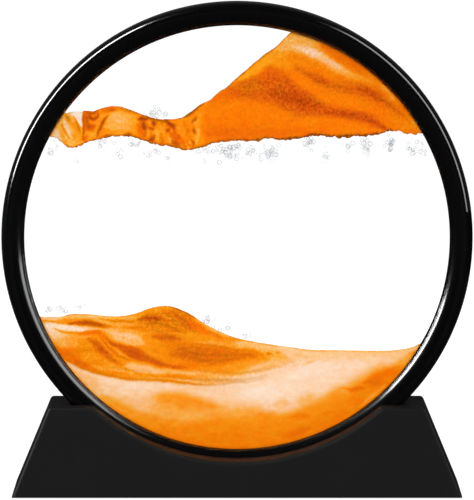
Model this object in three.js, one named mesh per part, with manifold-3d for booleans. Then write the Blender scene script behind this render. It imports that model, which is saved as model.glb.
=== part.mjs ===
// Moving sand art frame: a round glass cell of sand and liquid in a black ring, resting in a
// trapezoid stand. The ring drops into a groove in the stand, turns in it and lifts out of it.
// Millimetres, +Z up, the front at -Y. The origin is on the table, under the middle of the stand.
import * as THREE from 'three';
import { mergeVertices } from 'three/addons/utils/BufferGeometryUtils.js';
import Module from 'manifold-3d';

// Ring and cell
const RING_DIAMETER = 180;
const RING_FACE_WIDTH = 8.85; // seen from the front, outer edge to glass
const RING_LIP_DEPTH = 4.4; // how far the rounded face stands out in front of the glass
const RING_WALL = 2.5;
const PARTING_GAP = 0.2; // seam between the front and rear half of the ring
const GLASS_THICKNESS = 2.5;
const GLASS_EDGE_CLEARANCE = 0.5;
const TAPE_THICKNESS = 0.3; // adhesive ring between lip and glass
const TAPE_WIDTH = 3.6;
const SEAL_THICKNESS = 0.3; // silicone bead between glass and spacer
const SEAL_WIDTH = 3;
const SPACER_DEPTH = 5;
const SPACER_WIDTH = 4;
const SPACER_EDGE_CLEARANCE = 0.5; // spacer to glass edge
const PLUG_STEM_RADIUS = 1.6;
const PLUG_RECESS = 0.4; // plug head below the ring's rim

// Stand
const BASE_HEIGHT = 33.8;
const BASE_END_LAND = 7.9; // top face past the mouth of the groove, at each end
const BASE_SADDLE_DEPTH = 9.7; // top face in front of the groove, and behind it
const BASE_END_SPREAD = 13.9; // how far each end slopes out, top to bottom
const BASE_FACE_SPREAD = 5; // how far the front and rear slope out
const BASE_WALL = 2.4;
const BASE_EDGE_RADIUS = 1.6;
const BASE_TOP_EDGE_RADIUS = 0.8;
const GROOVE_FLOOR_HEIGHT = 7.7; // lowest point of the groove above the table
const GROOVE_WALL = 2.2;
const CRADLE_COVER = 7; // how much of the ring's face the stand's walls hide
const PLATE_THICKNESS = 2.4;
const FOOT_RADIUS = 4.5;
const FOOT_THICKNESS = 1.3;
const FOOT_PROUD = 0.5; // foot below the plate
const FOOT_INSET = 6; // foot centre from the plate's ends
const FOOT_SPAN = 30; // foot to foot, front to back
const SCREW_RADIUS = 1.3;
const SCREW_LENGTH = 9; // shank below the head
const SCREW_HEAD_RADIUS = 2.5;
const SCREW_HEAD_HEIGHT = 1.2;
const SCREW_INSET = 17; // screw centre from the plate's ends
const SCREW_SPAN = 26; // screw to screw, front to back
const SCREW_TIP_ROOM = 1.5; // pilot hole past the screw's tip
const SCREW_HEAD_ROOM = 0.3; // countersink past the head, below it
const PILLAR_RADIUS = 3.2;

// Fits
const FIT_GAP = 0.3; // between pieces that lie loosely beside each other
const RUNNING_GAP = 0.3; // ring to groove, all round

// Fineness of the round faces
const RING_SEGMENTS = 96;
const INNER_SEGMENTS = 72;
const SMALL_SEGMENTS = 20;
const LIP_STEPS = 10;
const CREST_STEPS = 40;
const CORNER_STEPS = 4;
const CUT_MARGIN = 5; // how far a cutting solid runs past what it cuts
const WELD = 1e-4;

// Sizes that follow
const ringRadius = RING_DIAMETER / 2;
const cellGap = SPACER_DEPTH + 2 * SEAL_THICKNESS;
const spacerHalf = SPACER_DEPTH / 2;
const glassInner = cellGap / 2;
const glassOuter = glassInner + GLASS_THICKNESS;
const lipBack = glassOuter + TAPE_THICKNESS;
const ringHalfDepth = lipBack + RING_LIP_DEPTH;
const ringBore = ringRadius - RING_WALL;
const glassRadius = ringBore - GLASS_EDGE_CLEARANCE;
const spacerOuter = glassRadius - SPACER_EDGE_CLEARANCE;
const spacerInner = spacerOuter - SPACER_WIDTH;
const plugHeadRadius = glassInner - FIT_GAP;
const fillRadius = spacerInner - FIT_GAP;
const fillDepth = cellGap - 2 * FIT_GAP;
const grooveRadius = ringRadius + RUNNING_GAP;
const grooveHalf = ringHalfDepth + RUNNING_GAP;
const cradleRadius = ringRadius - CRADLE_COVER;
const discHeight = GROOVE_FLOOR_HEIGHT + grooveRadius;
const baseBottom = FOOT_PROUD;
const baseTop = baseBottom + BASE_HEIGHT;
const plateTop = baseBottom + PLATE_THICKNESS;
const grooveMouth = 2 * Math.sqrt(grooveRadius ** 2 - (discHeight - baseTop) ** 2);
const baseTopWidth = grooveMouth + 2 * BASE_END_LAND;
const baseTopDepth = 2 * (grooveHalf + BASE_SADDLE_DEPTH);
const fallAt = (z) => (baseTop - z) / BASE_HEIGHT; // 0 at the stand's top, 1 at its rim
const baseWidthAt = (z) => baseTopWidth + 2 * BASE_END_SPREAD * fallAt(z);
const baseDepthAt = (z) => baseTopDepth + 2 * BASE_FACE_SPREAD * fallAt(z);
const plateWidth = baseWidthAt(plateTop) - 2 * (BASE_WALL + FIT_GAP);
const plateDepth = baseDepthAt(plateTop) - 2 * (BASE_WALL + FIT_GAP);

// Sand outlines, in the plane of the glass and from its centre: X to the right, Z up
const UPPER_TOP = [
  [-69.3, 40.9], [-65, 46.2], [-57, 47.8], [-46.3, 49.7], [-35.6, 46.6], [-26.5, 45],
  [-17.2, 48.5], [-5, 56.6], [7.3, 67.3], [19.5, 77.6],
];
const UPPER_UNDERSIDE = [
  [-69.3, 37.8], [-64, 34], [-57, 35.9], [-48, 38.6], [-41.7, 38.6], [-32, 35.8], [-20.3, 33.2],
  [-8, 35.9], [10.3, 37.4], [28.7, 38.4], [41, 37.8], [59.3, 39.8], [68.5, 39],
];
const LOWER_CREST = [
  [-74.7, -31.5], [-65.5, -29.9], [-44, -30.7], [-33, -27.6], [-27.2, -26.7], [-21, -28.2],
  [-10.3, -34.9], [11.1, -41.4], [30, -43.9], [60.1, -44.1], [69.3, -41.8],
];
const DUNE_FOOT = [
  [-67.3, -43.9], [-58, -50], [-45, -54.5], [-32.2, -55.6], [-14.5, -56.5], [1.1, -55.6],
  [15, -53], [30, -48.8], [44, -46.4], [60, -45.6], [72, -45],
];
const DRIFT_FOOT = [
  [-56, -61], [-49.8, -64.4], [-38, -66.7], [-20, -65], [1.1, -65], [16.5, -62.1], [30, -59],
  [42, -54.5], [57, -49.5], [70, -47],
];
const RIBBON_END = -15; // where the ribbon runs into the peak

const wasm = await Module();
wasm.setup();

// A closed geometry as a solid that can be joined and cut.
function solidOf(geometry) {
  const bare = geometry.index ? geometry.toNonIndexed() : geometry.clone();
  bare.deleteAttribute('normal');
  bare.deleteAttribute('uv');
  const welded = mergeVertices(bare, WELD);
  const mesh = new wasm.Mesh({
    numProp: 3,
    vertProperties: welded.attributes.position.array,
    triVerts: new Uint32Array(welded.index.array),
  });
  return new wasm.Manifold(mesh);
}

// A solid back as a geometry.
function geometryOf(solid) {
  const mesh = solid.getMesh();
  const points = new Float32Array(mesh.numVert * 3);
  for (let i = 0; i < mesh.numVert; i += 1) {
    points.set(mesh.vertProperties.subarray(i * mesh.numProp, i * mesh.numProp + 3), i * 3);
  }
  const geometry = new THREE.BufferGeometry();
  geometry.setAttribute('position', new THREE.BufferAttribute(points, 3));
  geometry.setIndex(new THREE.BufferAttribute(mesh.triVerts, 1));
  return geometry;
}

// A ring round the Y axis with a rectangular section.
function flatRing(inner, outer, front, back, segments) {
  const section = [[inner, front], [outer, front], [outer, back], [inner, back], [inner, front]];
  return new THREE.LatheGeometry(section.map(([r, y]) => new THREE.Vector2(r, y)), segments);
}

// A disc round the Y axis, its thickness centred on y.
function disc(radius, thickness, y, segments) {
  return new THREE.CylinderGeometry(radius, radius, thickness, segments).translate(0, y, 0);
}

// An upright round post between two heights.
function post(radius, x, y, bottom, top) {
  const geometry = new THREE.CylinderGeometry(radius, radius, top - bottom, SMALL_SEGMENTS);
  return geometry.rotateX(Math.PI / 2).translate(x, y, (bottom + top) / 2);
}

// A shape drawn in X and Z, given a thickness along Y about y = 0.
function slab(points, thickness) {
  const outline = new THREE.Shape(points.map(([x, z]) => new THREE.Vector2(x, z)));
  const geometry = new THREE.ExtrudeGeometry(outline, { depth: thickness, bevelEnabled: false });
  return geometry.rotateX(Math.PI / 2).translate(0, thickness / 2, 0);
}

// A rectangle with rounded corners, as a loop of points going round to the left.
function roundedRectangle(width, depth, radius) {
  const loop = [];
  const corners = [[1, 1], [-1, 1], [-1, -1], [1, -1]];
  corners.forEach(([sideX, sideY], corner) => {
    for (let step = 0; step <= CORNER_STEPS; step += 1) {
      const angle = (Math.PI / 2) * (corner + step / CORNER_STEPS);
      const x = sideX * (width / 2 - radius) + radius * Math.cos(angle);
      const y = sideY * (depth / 2 - radius) + radius * Math.sin(angle);
      loop.push([x, y]);
    }
  });
  return loop;
}

// A solid through a stack of loops with the same number of points, each at its own height.
function loft(sections) {
  const points = sections.flatMap(({ loop, z }) => loop.map(([x, y]) => [x, y, z]));
  const count = sections[0].loop.length;
  const faces = [];
  for (let level = 0; level + 1 < sections.length; level += 1) {
    for (let i = 0; i < count; i += 1) {
      const low = level * count + i;
      const lowNext = level * count + ((i + 1) % count);
      faces.push(low, lowNext, lowNext + count, low, lowNext + count, low + count);
    }
  }
  const last = (sections.length - 1) * count;
  for (let i = 1; i + 1 < count; i += 1) {
    faces.push(0, i + 1, i, last, last + i, last + i + 1);
  }
  const geometry = new THREE.BufferGeometry();
  geometry.setAttribute('position', new THREE.Float32BufferAttribute(points.flat(), 3));
  geometry.setIndex(faces);
  return geometry;
}

// Ring halves

// One half of the ring: a half-round lip over the edge of the glass and a wall round it.
// side is -1 for the front half and 1 for the rear half.
function ringHalf(side) {
  const lip = new THREE.EllipseCurve(
    ringRadius - RING_FACE_WIDTH / 2, lipBack, RING_FACE_WIDTH / 2, RING_LIP_DEPTH, 0, Math.PI);
  const section = [
    ...lip.getPoints(LIP_STEPS),
    new THREE.Vector2(ringBore, lipBack),
    new THREE.Vector2(ringBore, PARTING_GAP / 2),
    new THREE.Vector2(ringRadius, PARTING_GAP / 2),
    new THREE.Vector2(ringRadius, lipBack),
  ];
  const half = solidOf(new THREE.LatheGeometry(section, RING_SEGMENTS));
  const notch = solidOf(
    post(plugHeadRadius + FIT_GAP, 0, 0, spacerOuter, ringRadius + CUT_MARGIN));
  const notched = geometryOf(half.subtract(notch));
  return side < 0 ? notched.rotateZ(Math.PI) : notched;
}

// Cell

// The ring that keeps the panes apart, with the filling hole through its top.
function cellSpacer() {
  const ring = flatRing(spacerInner, spacerOuter, -spacerHalf, spacerHalf, INNER_SEGMENTS);
  const hole = post(
    PLUG_STEM_RADIUS + FIT_GAP, 0, 0, spacerInner - CUT_MARGIN, spacerOuter + CUT_MARGIN);
  return geometryOf(solidOf(ring).subtract(solidOf(hole)));
}

// The soft stopper in the filling hole, its head just under the ring's rim.
function fillerPlug() {
  const headBottom = spacerOuter + FIT_GAP;
  const headTop = ringRadius - PLUG_RECESS;
  const section = [
    [0, spacerInner], [PLUG_STEM_RADIUS, spacerInner], [PLUG_STEM_RADIUS, headBottom],
    [plugHeadRadius, headBottom], [plugHeadRadius, headTop], [0, headTop],
  ];
  const profile = section.map(([r, y]) => new THREE.Vector2(r, y));
  return new THREE.LatheGeometry(profile, SMALL_SEGMENTS).rotateX(Math.PI / 2);
}

// Sand and liquid

// A smooth line through the points, run out level past both sides of the cell.
function sandLine(points, rise = 0) {
  const runOut = fillRadius + CUT_MARGIN;
  const curve = new THREE.SplineCurve(points.map(([x, z]) => new THREE.Vector2(x, z + rise)));
  const line = curve.getPoints(CREST_STEPS).map(({ x, y }) => [x, y]);
  const first = line[0];
  const last = line[line.length - 1];
  return [[Math.min(-runOut, first[0] - CUT_MARGIN), first[1]], ...line,
    [Math.max(runOut, last[0] + CUT_MARGIN), last[1]]];
}

// The top of the upper sand, which climbs out through the roof of the cell at its right end.
function upperTopLine(rise = 0) {
  const [beforeLast, last] = UPPER_TOP.slice(-2);
  const climb = (last[1] - beforeLast[1]) / (last[0] - beforeLast[0]);
  const run = fillRadius + CUT_MARGIN;
  const line = sandLine(UPPER_TOP, rise).slice(0, -1);
  return [...line, [last[0] + run, last[1] + rise + climb * run]];
}

// What lies in the cell between a lower line and an upper line, both running left to right.
function fill(lower, upper) {
  const body = solidOf(slab([...lower, ...[...upper].reverse()], fillDepth));
  return body.intersect(solidOf(disc(fillRadius, fillDepth, 0, INNER_SEGMENTS)));
}

// The part of a fill to the left or right of an upright line.
function beside(body, from, to) {
  const top = fillRadius + CUT_MARGIN;
  const window = [[from, -top], [to, -top], [to, top], [from, top]];
  return body.intersect(solidOf(slab(window, fillDepth + CUT_MARGIN)));
}

function sandAndLiquid() {
  const edge = fillRadius + CUT_MARGIN;
  const floor = [[-edge, -edge], [edge, -edge]];
  const half = FIT_GAP / 2;
  const upper = fill(sandLine(UPPER_UNDERSIDE), upperTopLine());
  const topLine = upperTopLine(FIT_GAP);
  const roofEnd = topLine[topLine.length - 1];
  return {
    lower_sand_bed: fill(floor, sandLine(DRIFT_FOOT, -half)),
    lower_sand_drift: fill(sandLine(DRIFT_FOOT, half), sandLine(DUNE_FOOT, -half)),
    lower_sand_dunes: fill(sandLine(DUNE_FOOT, half), sandLine(LOWER_CREST)),
    upper_sand_ribbon: beside(upper, -edge, RIBBON_END - half),
    upper_sand_peak: beside(upper, RIBBON_END + half, edge),
    liquid_middle: fill(sandLine(LOWER_CREST, FIT_GAP), sandLine(UPPER_UNDERSIDE, -FIT_GAP)),
    liquid_top: fill(topLine, [[-edge, roofEnd[1]], roofEnd]),
  };
}

// Stand

// The stand's outline solid, drawn in by an inset, from one height to another.
function frustum(inset, bottom, top, topEdge) {
  const section = (z, drawIn) => {
    const shrink = 2 * (inset + drawIn);
    const loop = roundedRectangle(
      baseWidthAt(z) - shrink, baseDepthAt(z) - shrink, BASE_EDGE_RADIUS);
    return { z, loop };
  };
  const levels = [section(bottom, 0), section(top - topEdge, 0)];
  for (const angle of topEdge ? [Math.PI / 4, Math.PI / 2] : []) {
    levels.push(section(top - topEdge * (1 - Math.sin(angle)), topEdge * (1 - Math.cos(angle))));
  }
  return solidOf(loft(levels));
}

// Where a row of four feet or screws sits: inset from the plate's ends, span apart.
function fourPlaces(inset, span) {
  const x = plateWidth / 2 - inset;
  const y = span / 2;
  return [
    ['front_left', -x, -y], ['front_right', x, -y], ['rear_left', -x, y], ['rear_right', x, y],
  ];
}

const screwPlaces = fourPlaces(SCREW_INSET, SCREW_SPAN);
const footPlaces = fourPlaces(FOOT_INSET, FOOT_SPAN);
const screwHeadTop = baseBottom + SCREW_HEAD_ROOM + SCREW_HEAD_HEIGHT;
const screwTip = screwHeadTop + SCREW_LENGTH;

// A hollow shell, open below: sloping walls, the ring's groove, and pillars for the screws.
function baseShell() {
  const outer = frustum(0, baseBottom, baseTop, BASE_TOP_EDGE_RADIUS);
  const hollow = frustum(BASE_WALL, baseBottom - CUT_MARGIN, baseTop - BASE_WALL, 0);
  const through = baseDepthAt(baseBottom) + 2 * CUT_MARGIN;
  const round = (radius, depth) =>
    solidOf(disc(radius, depth, 0, RING_SEGMENTS).translate(0, 0, discHeight));
  const housing = round(grooveRadius + GROOVE_WALL, 2 * (grooveHalf + GROOVE_WALL));
  const rim = round(cradleRadius + BASE_WALL, through);
  let shell = outer.subtract(hollow).add(housing.add(rim).intersect(outer));
  for (const [, x, y] of screwPlaces) {
    shell = shell.add(solidOf(post(PILLAR_RADIUS, x, y, plateTop, baseTop)).intersect(outer));
  }
  for (const [, x, y] of screwPlaces) {
    const pilot = post(
      SCREW_RADIUS + FIT_GAP, x, y, plateTop - CUT_MARGIN, screwTip + SCREW_TIP_ROOM);
    shell = shell.subtract(solidOf(pilot));
  }
  const groove = round(grooveRadius, 2 * grooveHalf);
  return geometryOf(shell.subtract(groove).subtract(round(cradleRadius, through)));
}

// The plate that closes the shell from below, drilled for the screws and sunk for the feet.
function basePlate() {
  const loop = roundedRectangle(plateWidth, plateDepth, BASE_EDGE_RADIUS);
  let plate = solidOf(loft([{ loop, z: baseBottom }, { loop, z: plateTop }]));
  const below = baseBottom - CUT_MARGIN;
  for (const [, x, y] of screwPlaces) {
    plate = plate
      .subtract(solidOf(post(SCREW_RADIUS + FIT_GAP, x, y, below, plateTop + CUT_MARGIN)))
      .subtract(solidOf(post(SCREW_HEAD_RADIUS + FIT_GAP, x, y, below, screwHeadTop)));
  }
  for (const [, x, y] of footPlaces) {
    const seat = baseBottom - FOOT_PROUD + FOOT_THICKNESS;
    plate = plate.subtract(solidOf(post(FOOT_RADIUS + FIT_GAP, x, y, below, seat)));
  }
  return geometryOf(plate);
}

// A pan-head screw, head down.
function screw(x, y) {
  const head = solidOf(post(SCREW_HEAD_RADIUS, x, y, screwHeadTop - SCREW_HEAD_HEIGHT, screwHeadTop));
  const shank = solidOf(post(SCREW_RADIUS, x, y, screwHeadTop - SCREW_HEAD_HEIGHT / 2, screwTip));
  return geometryOf(head.add(shank));
}

// Finishes
const finish = (color, roughness, metalness = 0) =>
  new THREE.MeshStandardMaterial({ color, roughness, metalness });
const glossBlack = finish(0x0a0a0b, 0.16);
const satinBlack = finish(0x1b1b1b, 0.5);
const innerBlack = finish(0x111111, 0.6);
const rubber = finish(0x161616, 0.85);
const silicone = finish(0x2a2a2a, 0.6);
const steel = finish(0x8d9094, 0.35, 1);
const sand = finish(0xf08a1c, 0.9);
const paleSand = finish(0xf6cfa4, 0.9);
const clear = (color, opacity) =>
  new THREE.MeshStandardMaterial({ color, roughness: 0.05, transparent: true, opacity });
const glass = clear(0xf4faf8, 0.2);
const liquid = clear(0xf6fbff, 0.12);

function named(name, geometry, material) {
  const mesh = new THREE.Mesh(geometry, material);
  mesh.name = name;
  return mesh;
}

// The disc that turns and lifts out, modelled about its own centre.
function discGroup() {
  const group = new THREE.Group();
  group.position.set(0, 0, discHeight);
  const glassMiddle = (glassInner + glassOuter) / 2;
  const tapeOuter = glassRadius - FIT_GAP;
  const sealOuter = spacerOuter - FIT_GAP;
  for (const [end, side] of [['front', -1], ['rear', 1]]) {
    const tapeFaces = [side * glassOuter, side * lipBack].sort((a, b) => a - b);
    const sealFaces = [side * spacerHalf, side * glassInner].sort((a, b) => a - b);
    const tape = flatRing(tapeOuter - TAPE_WIDTH, tapeOuter, ...tapeFaces, INNER_SEGMENTS);
    const seal = flatRing(sealOuter - SEAL_WIDTH, sealOuter, ...sealFaces, INNER_SEGMENTS);
    const pane = disc(glassRadius, GLASS_THICKNESS, side * glassMiddle, RING_SEGMENTS);
    group.add(named(`${end}_frame_ring`, ringHalf(side), glossBlack));
    group.add(named(`${end}_glass`, pane, glass));
    group.add(named(`${end}_bezel_tape`, tape, innerBlack));
    group.add(named(`${end}_glass_seal`, seal, silicone));
  }
  group.add(named('cell_spacer', cellSpacer(), innerBlack));
  group.add(named('filler_plug', fillerPlug(), rubber));
  for (const [name, body] of Object.entries(sandAndLiquid())) {
    const pale = name === 'lower_sand_drift' ? paleSand : sand;
    group.add(named(name, geometryOf(body), name.startsWith('liquid') ? liquid : pale));
  }
  return group;
}

// The stand, modelled from the table up.
function standGroup() {
  const group = new THREE.Group();
  group.add(named('base_shell', baseShell(), satinBlack));
  group.add(named('base_plate', basePlate(), innerBlack));
  for (const [place, x, y] of screwPlaces) {
    group.add(named(`base_screw_${place}`, screw(x, y), steel));
  }
  const footTop = baseBottom - FOOT_PROUD + FOOT_THICKNESS;
  for (const [place, x, y] of footPlaces) {
    const foot = post(FOOT_RADIUS, x, y, baseBottom - FOOT_PROUD, footTop);
    group.add(named(`foot_${place}`, foot, rubber));
  }
  return group;
}

const sandFrame = new THREE.Group();
sandFrame.add(standGroup(), discGroup());

export default sandFrame;
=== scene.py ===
"""Looks of a round moving sand picture in its stand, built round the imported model.

Sizes in the classes are millimetres and become metres where a mesh is made. The sand's outlines and
layers are drawn in the plane of the glass from the disc's centre: u runs to the right and w runs up.
"""

import logging
import math
from collections.abc import Iterable, Mapping, Sequence
from dataclasses import dataclass, replace
from enum import Enum
from typing import Any

import bmesh
import bpy
import numpy as np
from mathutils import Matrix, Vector
from mathutils.geometry import delaunay_2d_cdt


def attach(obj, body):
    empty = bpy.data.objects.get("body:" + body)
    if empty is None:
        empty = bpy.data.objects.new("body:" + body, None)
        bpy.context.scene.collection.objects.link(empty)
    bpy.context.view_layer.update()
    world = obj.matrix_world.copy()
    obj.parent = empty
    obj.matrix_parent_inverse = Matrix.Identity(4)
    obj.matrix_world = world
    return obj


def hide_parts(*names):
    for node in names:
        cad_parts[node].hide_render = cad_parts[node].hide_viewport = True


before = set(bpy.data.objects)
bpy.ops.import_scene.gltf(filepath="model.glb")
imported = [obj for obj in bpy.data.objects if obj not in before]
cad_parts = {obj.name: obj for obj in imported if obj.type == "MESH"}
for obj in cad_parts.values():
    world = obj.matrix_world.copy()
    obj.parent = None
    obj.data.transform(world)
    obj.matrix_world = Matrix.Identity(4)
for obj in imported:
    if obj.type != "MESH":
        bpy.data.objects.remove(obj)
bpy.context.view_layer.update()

log = logging.getLogger("sand_frame")

MM = 0.001
DISC_HEIGHT = 98.0
SAND_ATTRIBUTES = ("tone", "gold", "speckle", "trace")
CLEAR_BOUNCES = 32
CORNERS = ("front_left", "front_right", "rear_left", "rear_right")

Points = tuple[tuple[float, float], ...]
Colour = tuple[float, float, float, float]
Faces = list[tuple[int, ...]]

WHITE: Colour = (1.0, 1.0, 1.0, 1.0)


class Body(Enum):
    """The bodies that pieces ride on."""

    STAND = "stand"
    LIQUID = "liquid"
    DISC = "disc"


class Slot(Enum):
    """The record's material slots, which the pieces here don't use."""

    RING = "ring_gloss_black"
    STAND = "stand_matte_black"
    LIQUID = "clear_liquid"
    SAND = "orange_sand"


class Side(Enum):
    """Front or rear half, as the sign of Y."""

    FRONT = -1
    REAR = 1


class LampRole(Enum):
    """What a lamp is for: even light on the object, or a bright streak in its gloss."""

    FILL = "fill"
    STREAK = "streak"


def linear(red: float, green: float, blue: float) -> Colour:
    """Turn an sRGB colour into the linear colour that nodes take.

    Args:
        red: Red from 0 to 255.
        green: Green from 0 to 255.
        blue: Blue from 0 to 255.

    Returns:
        Linear red, green, blue and an alpha of 1.
    """

    def curve(value: float) -> float:
        """One channel by the sRGB curve."""
        share = value / 255
        return share / 12.92 if share <= 0.04045 else ((share + 0.055) / 1.055) ** 2.4

    return curve(red), curve(green), curve(blue), 1.0


class Wire:
    """A socket that gives a value; arithmetic on it adds Math nodes."""

    def __init__(self, sheet: "Sheet", socket: bpy.types.NodeSocket) -> None:
        """Hold a socket and the sheet that it is on."""
        self.sheet = sheet
        self.socket = socket

    def math(self, operation: str, *values: "Wire | float") -> "Wire":
        """Add a Math node on the values."""
        return self.sheet.add("ShaderNodeMath", {"operation": operation}, dict(enumerate(values)))

    def output(self, name: str) -> "Wire":
        """Another output of the same node."""
        return Wire(self.sheet, self.socket.node.outputs[name])

    def __add__(self, other: "Wire | float") -> "Wire":
        """Sum."""
        return self.math("ADD", self, other)

    def __radd__(self, other: float) -> "Wire":
        """Sum with a number first."""
        return self.math("ADD", other, self)

    def __sub__(self, other: "Wire | float") -> "Wire":
        """Difference."""
        return self.math("SUBTRACT", self, other)

    def __rsub__(self, other: float) -> "Wire":
        """Difference with a number first."""
        return self.math("SUBTRACT", other, self)

    def __mul__(self, other: "Wire | float") -> "Wire":
        """Product."""
        return self.math("MULTIPLY", self, other)

    def __rmul__(self, other: float) -> "Wire":
        """Product with a number first."""
        return self.math("MULTIPLY", other, self)

    def __pow__(self, other: float) -> "Wire":
        """Power."""
        return self.math("POWER", self, other)

    def __gt__(self, other: "Wire | float") -> "Wire":
        """One where this is the larger, else zero."""
        return self.math("GREATER_THAN", self, other)

    def at_most(self, other: "Wire | float") -> "Wire":
        """The smaller of the two."""
        return self.math("MINIMUM", self, other)

    def at_least(self, other: "Wire | float") -> "Wire":
        """The larger of the two."""
        return self.math("MAXIMUM", self, other)


class Sheet:
    """The node tree of one material or of the world."""

    def __init__(self, tree: bpy.types.NodeTree) -> None:
        """Start with an empty tree."""
        self.tree = tree
        tree.nodes.clear()

    def add(
        self,
        kind: str,
        settings: Mapping[str, Any] | None = None,
        sockets: Mapping[str | int, Any] | None = None,
        output: str | int = 0,
    ) -> Wire:
        """Add any node.

        Args:
            kind: The node's type.
            settings: The node's own settings; "stops" gives a colour ramp's places and colours.
            sockets: Values or wires for its inputs, by name or number.
            output: Which output to return.

        Returns:
            The wire of that output, or of the first input of a node without outputs.
        """
        node = self.tree.nodes.new(kind)
        for key, value in (settings or {}).items():
            if key == "stops":
                self.set_stops(node.color_ramp, value)
            else:
                setattr(node, key, value)
        for key, value in (sockets or {}).items():
            if isinstance(value, Wire):
                self.tree.links.new(value.socket, node.inputs[key])
            else:
                node.inputs[key].default_value = value
        return Wire(self, node.outputs[output] if node.outputs else node.inputs[0])

    def set_stops(self, ramp: bpy.types.ColorRamp, stops: Sequence[tuple[float, Colour]]) -> None:
        """Give a colour ramp its stops.

        Args:
            ramp: The ramp.
            stops: Places from 0 to 1 and linear colours, in order.
        """
        while len(ramp.elements) < len(stops):
            ramp.elements.new(0.5)
        for element, (place, _) in zip(ramp.elements, stops):
            element.position = place
        for element, (_, colour) in zip(ramp.elements, stops):
            element.color = colour

    def coordinates(self) -> Wire:
        """The object's own coordinates, in metres."""
        return self.add("ShaderNodeTexCoord", output="Object")

    def noise(self, vector: Wire, size_mm: float, detail: float = 2.0) -> Wire:
        """Noise from 0 to 1 with patches of about the given size."""
        values = {"Vector": vector, "Scale": 1 / (size_mm * MM), "Detail": detail}
        return self.add("ShaderNodeTexNoise", sockets=values)

    def bump(self, height: Wire, strength: float, depth_mm: float) -> Wire:
        """A bump of the given depth, for a shader's normal."""
        sockets = {"Strength": strength, "Distance": depth_mm * MM, "Height": height}
        return self.add("ShaderNodeBump", sockets=sockets)

    def rise(self, value: Wire, low: float, high: float) -> Wire:
        """A smooth step from 0 at low to 1 at high."""
        sockets = {"Value": value, "From Min": low, "From Max": high}
        return self.add("ShaderNodeMapRange", {"interpolation_type": "SMOOTHSTEP"}, sockets)

    def rays(self) -> tuple[Wire, Wire]:
        """Whether the camera sees a place, also through glass, and whether a reflection does."""
        path = self.add("ShaderNodeLightPath", output="Is Camera Ray")
        return path.at_least(path.output("Is Transmission Ray")), path.output("Is Glossy Ray")

    def blend(self, share: Wire | float, first: Wire | Colour, second: Wire | Colour) -> Wire:
        """Mix two colours."""
        return self.add("ShaderNodeMix", {"data_type": "RGBA"}, {0: share, 6: first, 7: second}, 2)

    def mix(self, share: Wire | float, first: Wire, second: Wire) -> Wire:
        """Mix two shaders."""
        return self.add("ShaderNodeMixShader", sockets={0: share, 1: first, 2: second})


@dataclass(frozen=True)
class Finish:
    """A surface finish that makes one material."""

    name: str

    def material(self) -> bpy.types.Material:
        """Make the material once.

        Returns:
            The finish's material.
        """
        made = bpy.data.materials.get(self.name)
        if made is None:
            made = bpy.data.materials.new(self.name)
            made.use_nodes = True
            sheet = Sheet(made.node_tree)
            sheet.add("ShaderNodeOutputMaterial", sockets={"Surface": self.surface(sheet)})
        return made

    def surface(self, sheet: Sheet) -> Wire:
        """The shader of the finish."""
        raise NotImplementedError


@dataclass(frozen=True)
class MouldedBlack(Finish):
    """Black plastic or rubber with a moulded grain and slow changes of gloss."""

    dark: Colour
    light: Colour
    roughness: float
    spread: float
    grain_mm: float
    grain_depth_mm: float
    specular: float
    cloud_mm: float = 30.0
    cloud_share: float = 0.6
    bump_strength: float = 0.6

    def surface(self, sheet: Sheet) -> Wire:
        """Build the shader.

        Args:
            sheet: The material's sheet.

        Returns:
            The shader's wire.
        """
        place = sheet.coordinates()
        cloud = sheet.noise(place, self.cloud_mm, detail=3.0)
        grain = sheet.noise(place, self.grain_mm)
        rough = self.roughness + (cloud - 0.5) * self.spread + (grain - 0.5) * self.spread
        mix = cloud * self.cloud_share + grain * (1 - self.cloud_share)
        bump = sheet.bump(grain, self.bump_strength, self.grain_depth_mm)
        return sheet.add(
            "ShaderNodeBsdfPrincipled",
            sockets={
                "Base Color": sheet.blend(mix, self.dark, self.light),
                "Roughness": rough,
                "Specular IOR Level": self.specular,
                "Normal": bump,
            },
        )


@dataclass(frozen=True)
class ClearPane(Finish):
    """Clear glass or liquid: see-through, with a reflection that grows towards grazing angles."""

    tint: Colour
    reflection: float
    roughness: float
    facing: float = 0.35
    falloff: float = 3.0
    smear_mm: float = 25.0
    smear_least: float = 0.85
    smear_spread: float = 0.3

    def surface(self, sheet: Sheet) -> Wire:
        """Build the shader.

        Args:
            sheet: The material's sheet.

        Returns:
            The shader's wire.
        """
        smear = sheet.noise(sheet.coordinates(), self.smear_mm, detail=3.0)
        edge = sheet.add("ShaderNodeLayerWeight", sockets={"Blend": self.facing}, output="Facing")
        share = (edge ** self.falloff) * (smear * self.smear_spread + self.smear_least) * self.reflection
        clear = sheet.add("ShaderNodeBsdfTransparent", sockets={"Color": self.tint})
        shine = sheet.add("ShaderNodeBsdfGlossy", sockets={"Roughness": self.roughness})
        return sheet.mix(share, clear, shine)


@dataclass(frozen=True)
class AirBubble(Finish):
    """A small bubble of air that shows by its rim, a pale colour painted at its edges as reflection."""

    rim: Colour
    strength: float
    facing: float = 0.5
    wobble_mm: float = 1.5
    wobble_least: float = 0.6
    wobble_spread: float = 0.8
    roughness: float = 0.3

    def surface(self, sheet: Sheet) -> Wire:
        """Build the shader.

        Args:
            sheet: The material's sheet.

        Returns:
            The shader's wire.
        """
        # Painted reflection: a pale diffuse colour mixed in towards the bubble's edges
        edge = sheet.add("ShaderNodeLayerWeight", sockets={"Blend": self.facing}, output="Facing")
        wobble = sheet.noise(sheet.coordinates(), self.wobble_mm)
        share = edge * (wobble * self.wobble_spread + self.wobble_least) * self.strength
        clear = sheet.add("ShaderNodeBsdfTransparent")
        look = {"Base Color": self.rim, "Roughness": self.roughness}
        painted_rim = sheet.add("ShaderNodeBsdfPrincipled", sockets=look)
        return sheet.mix(share.at_most(1.0), clear, painted_rim)


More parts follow.
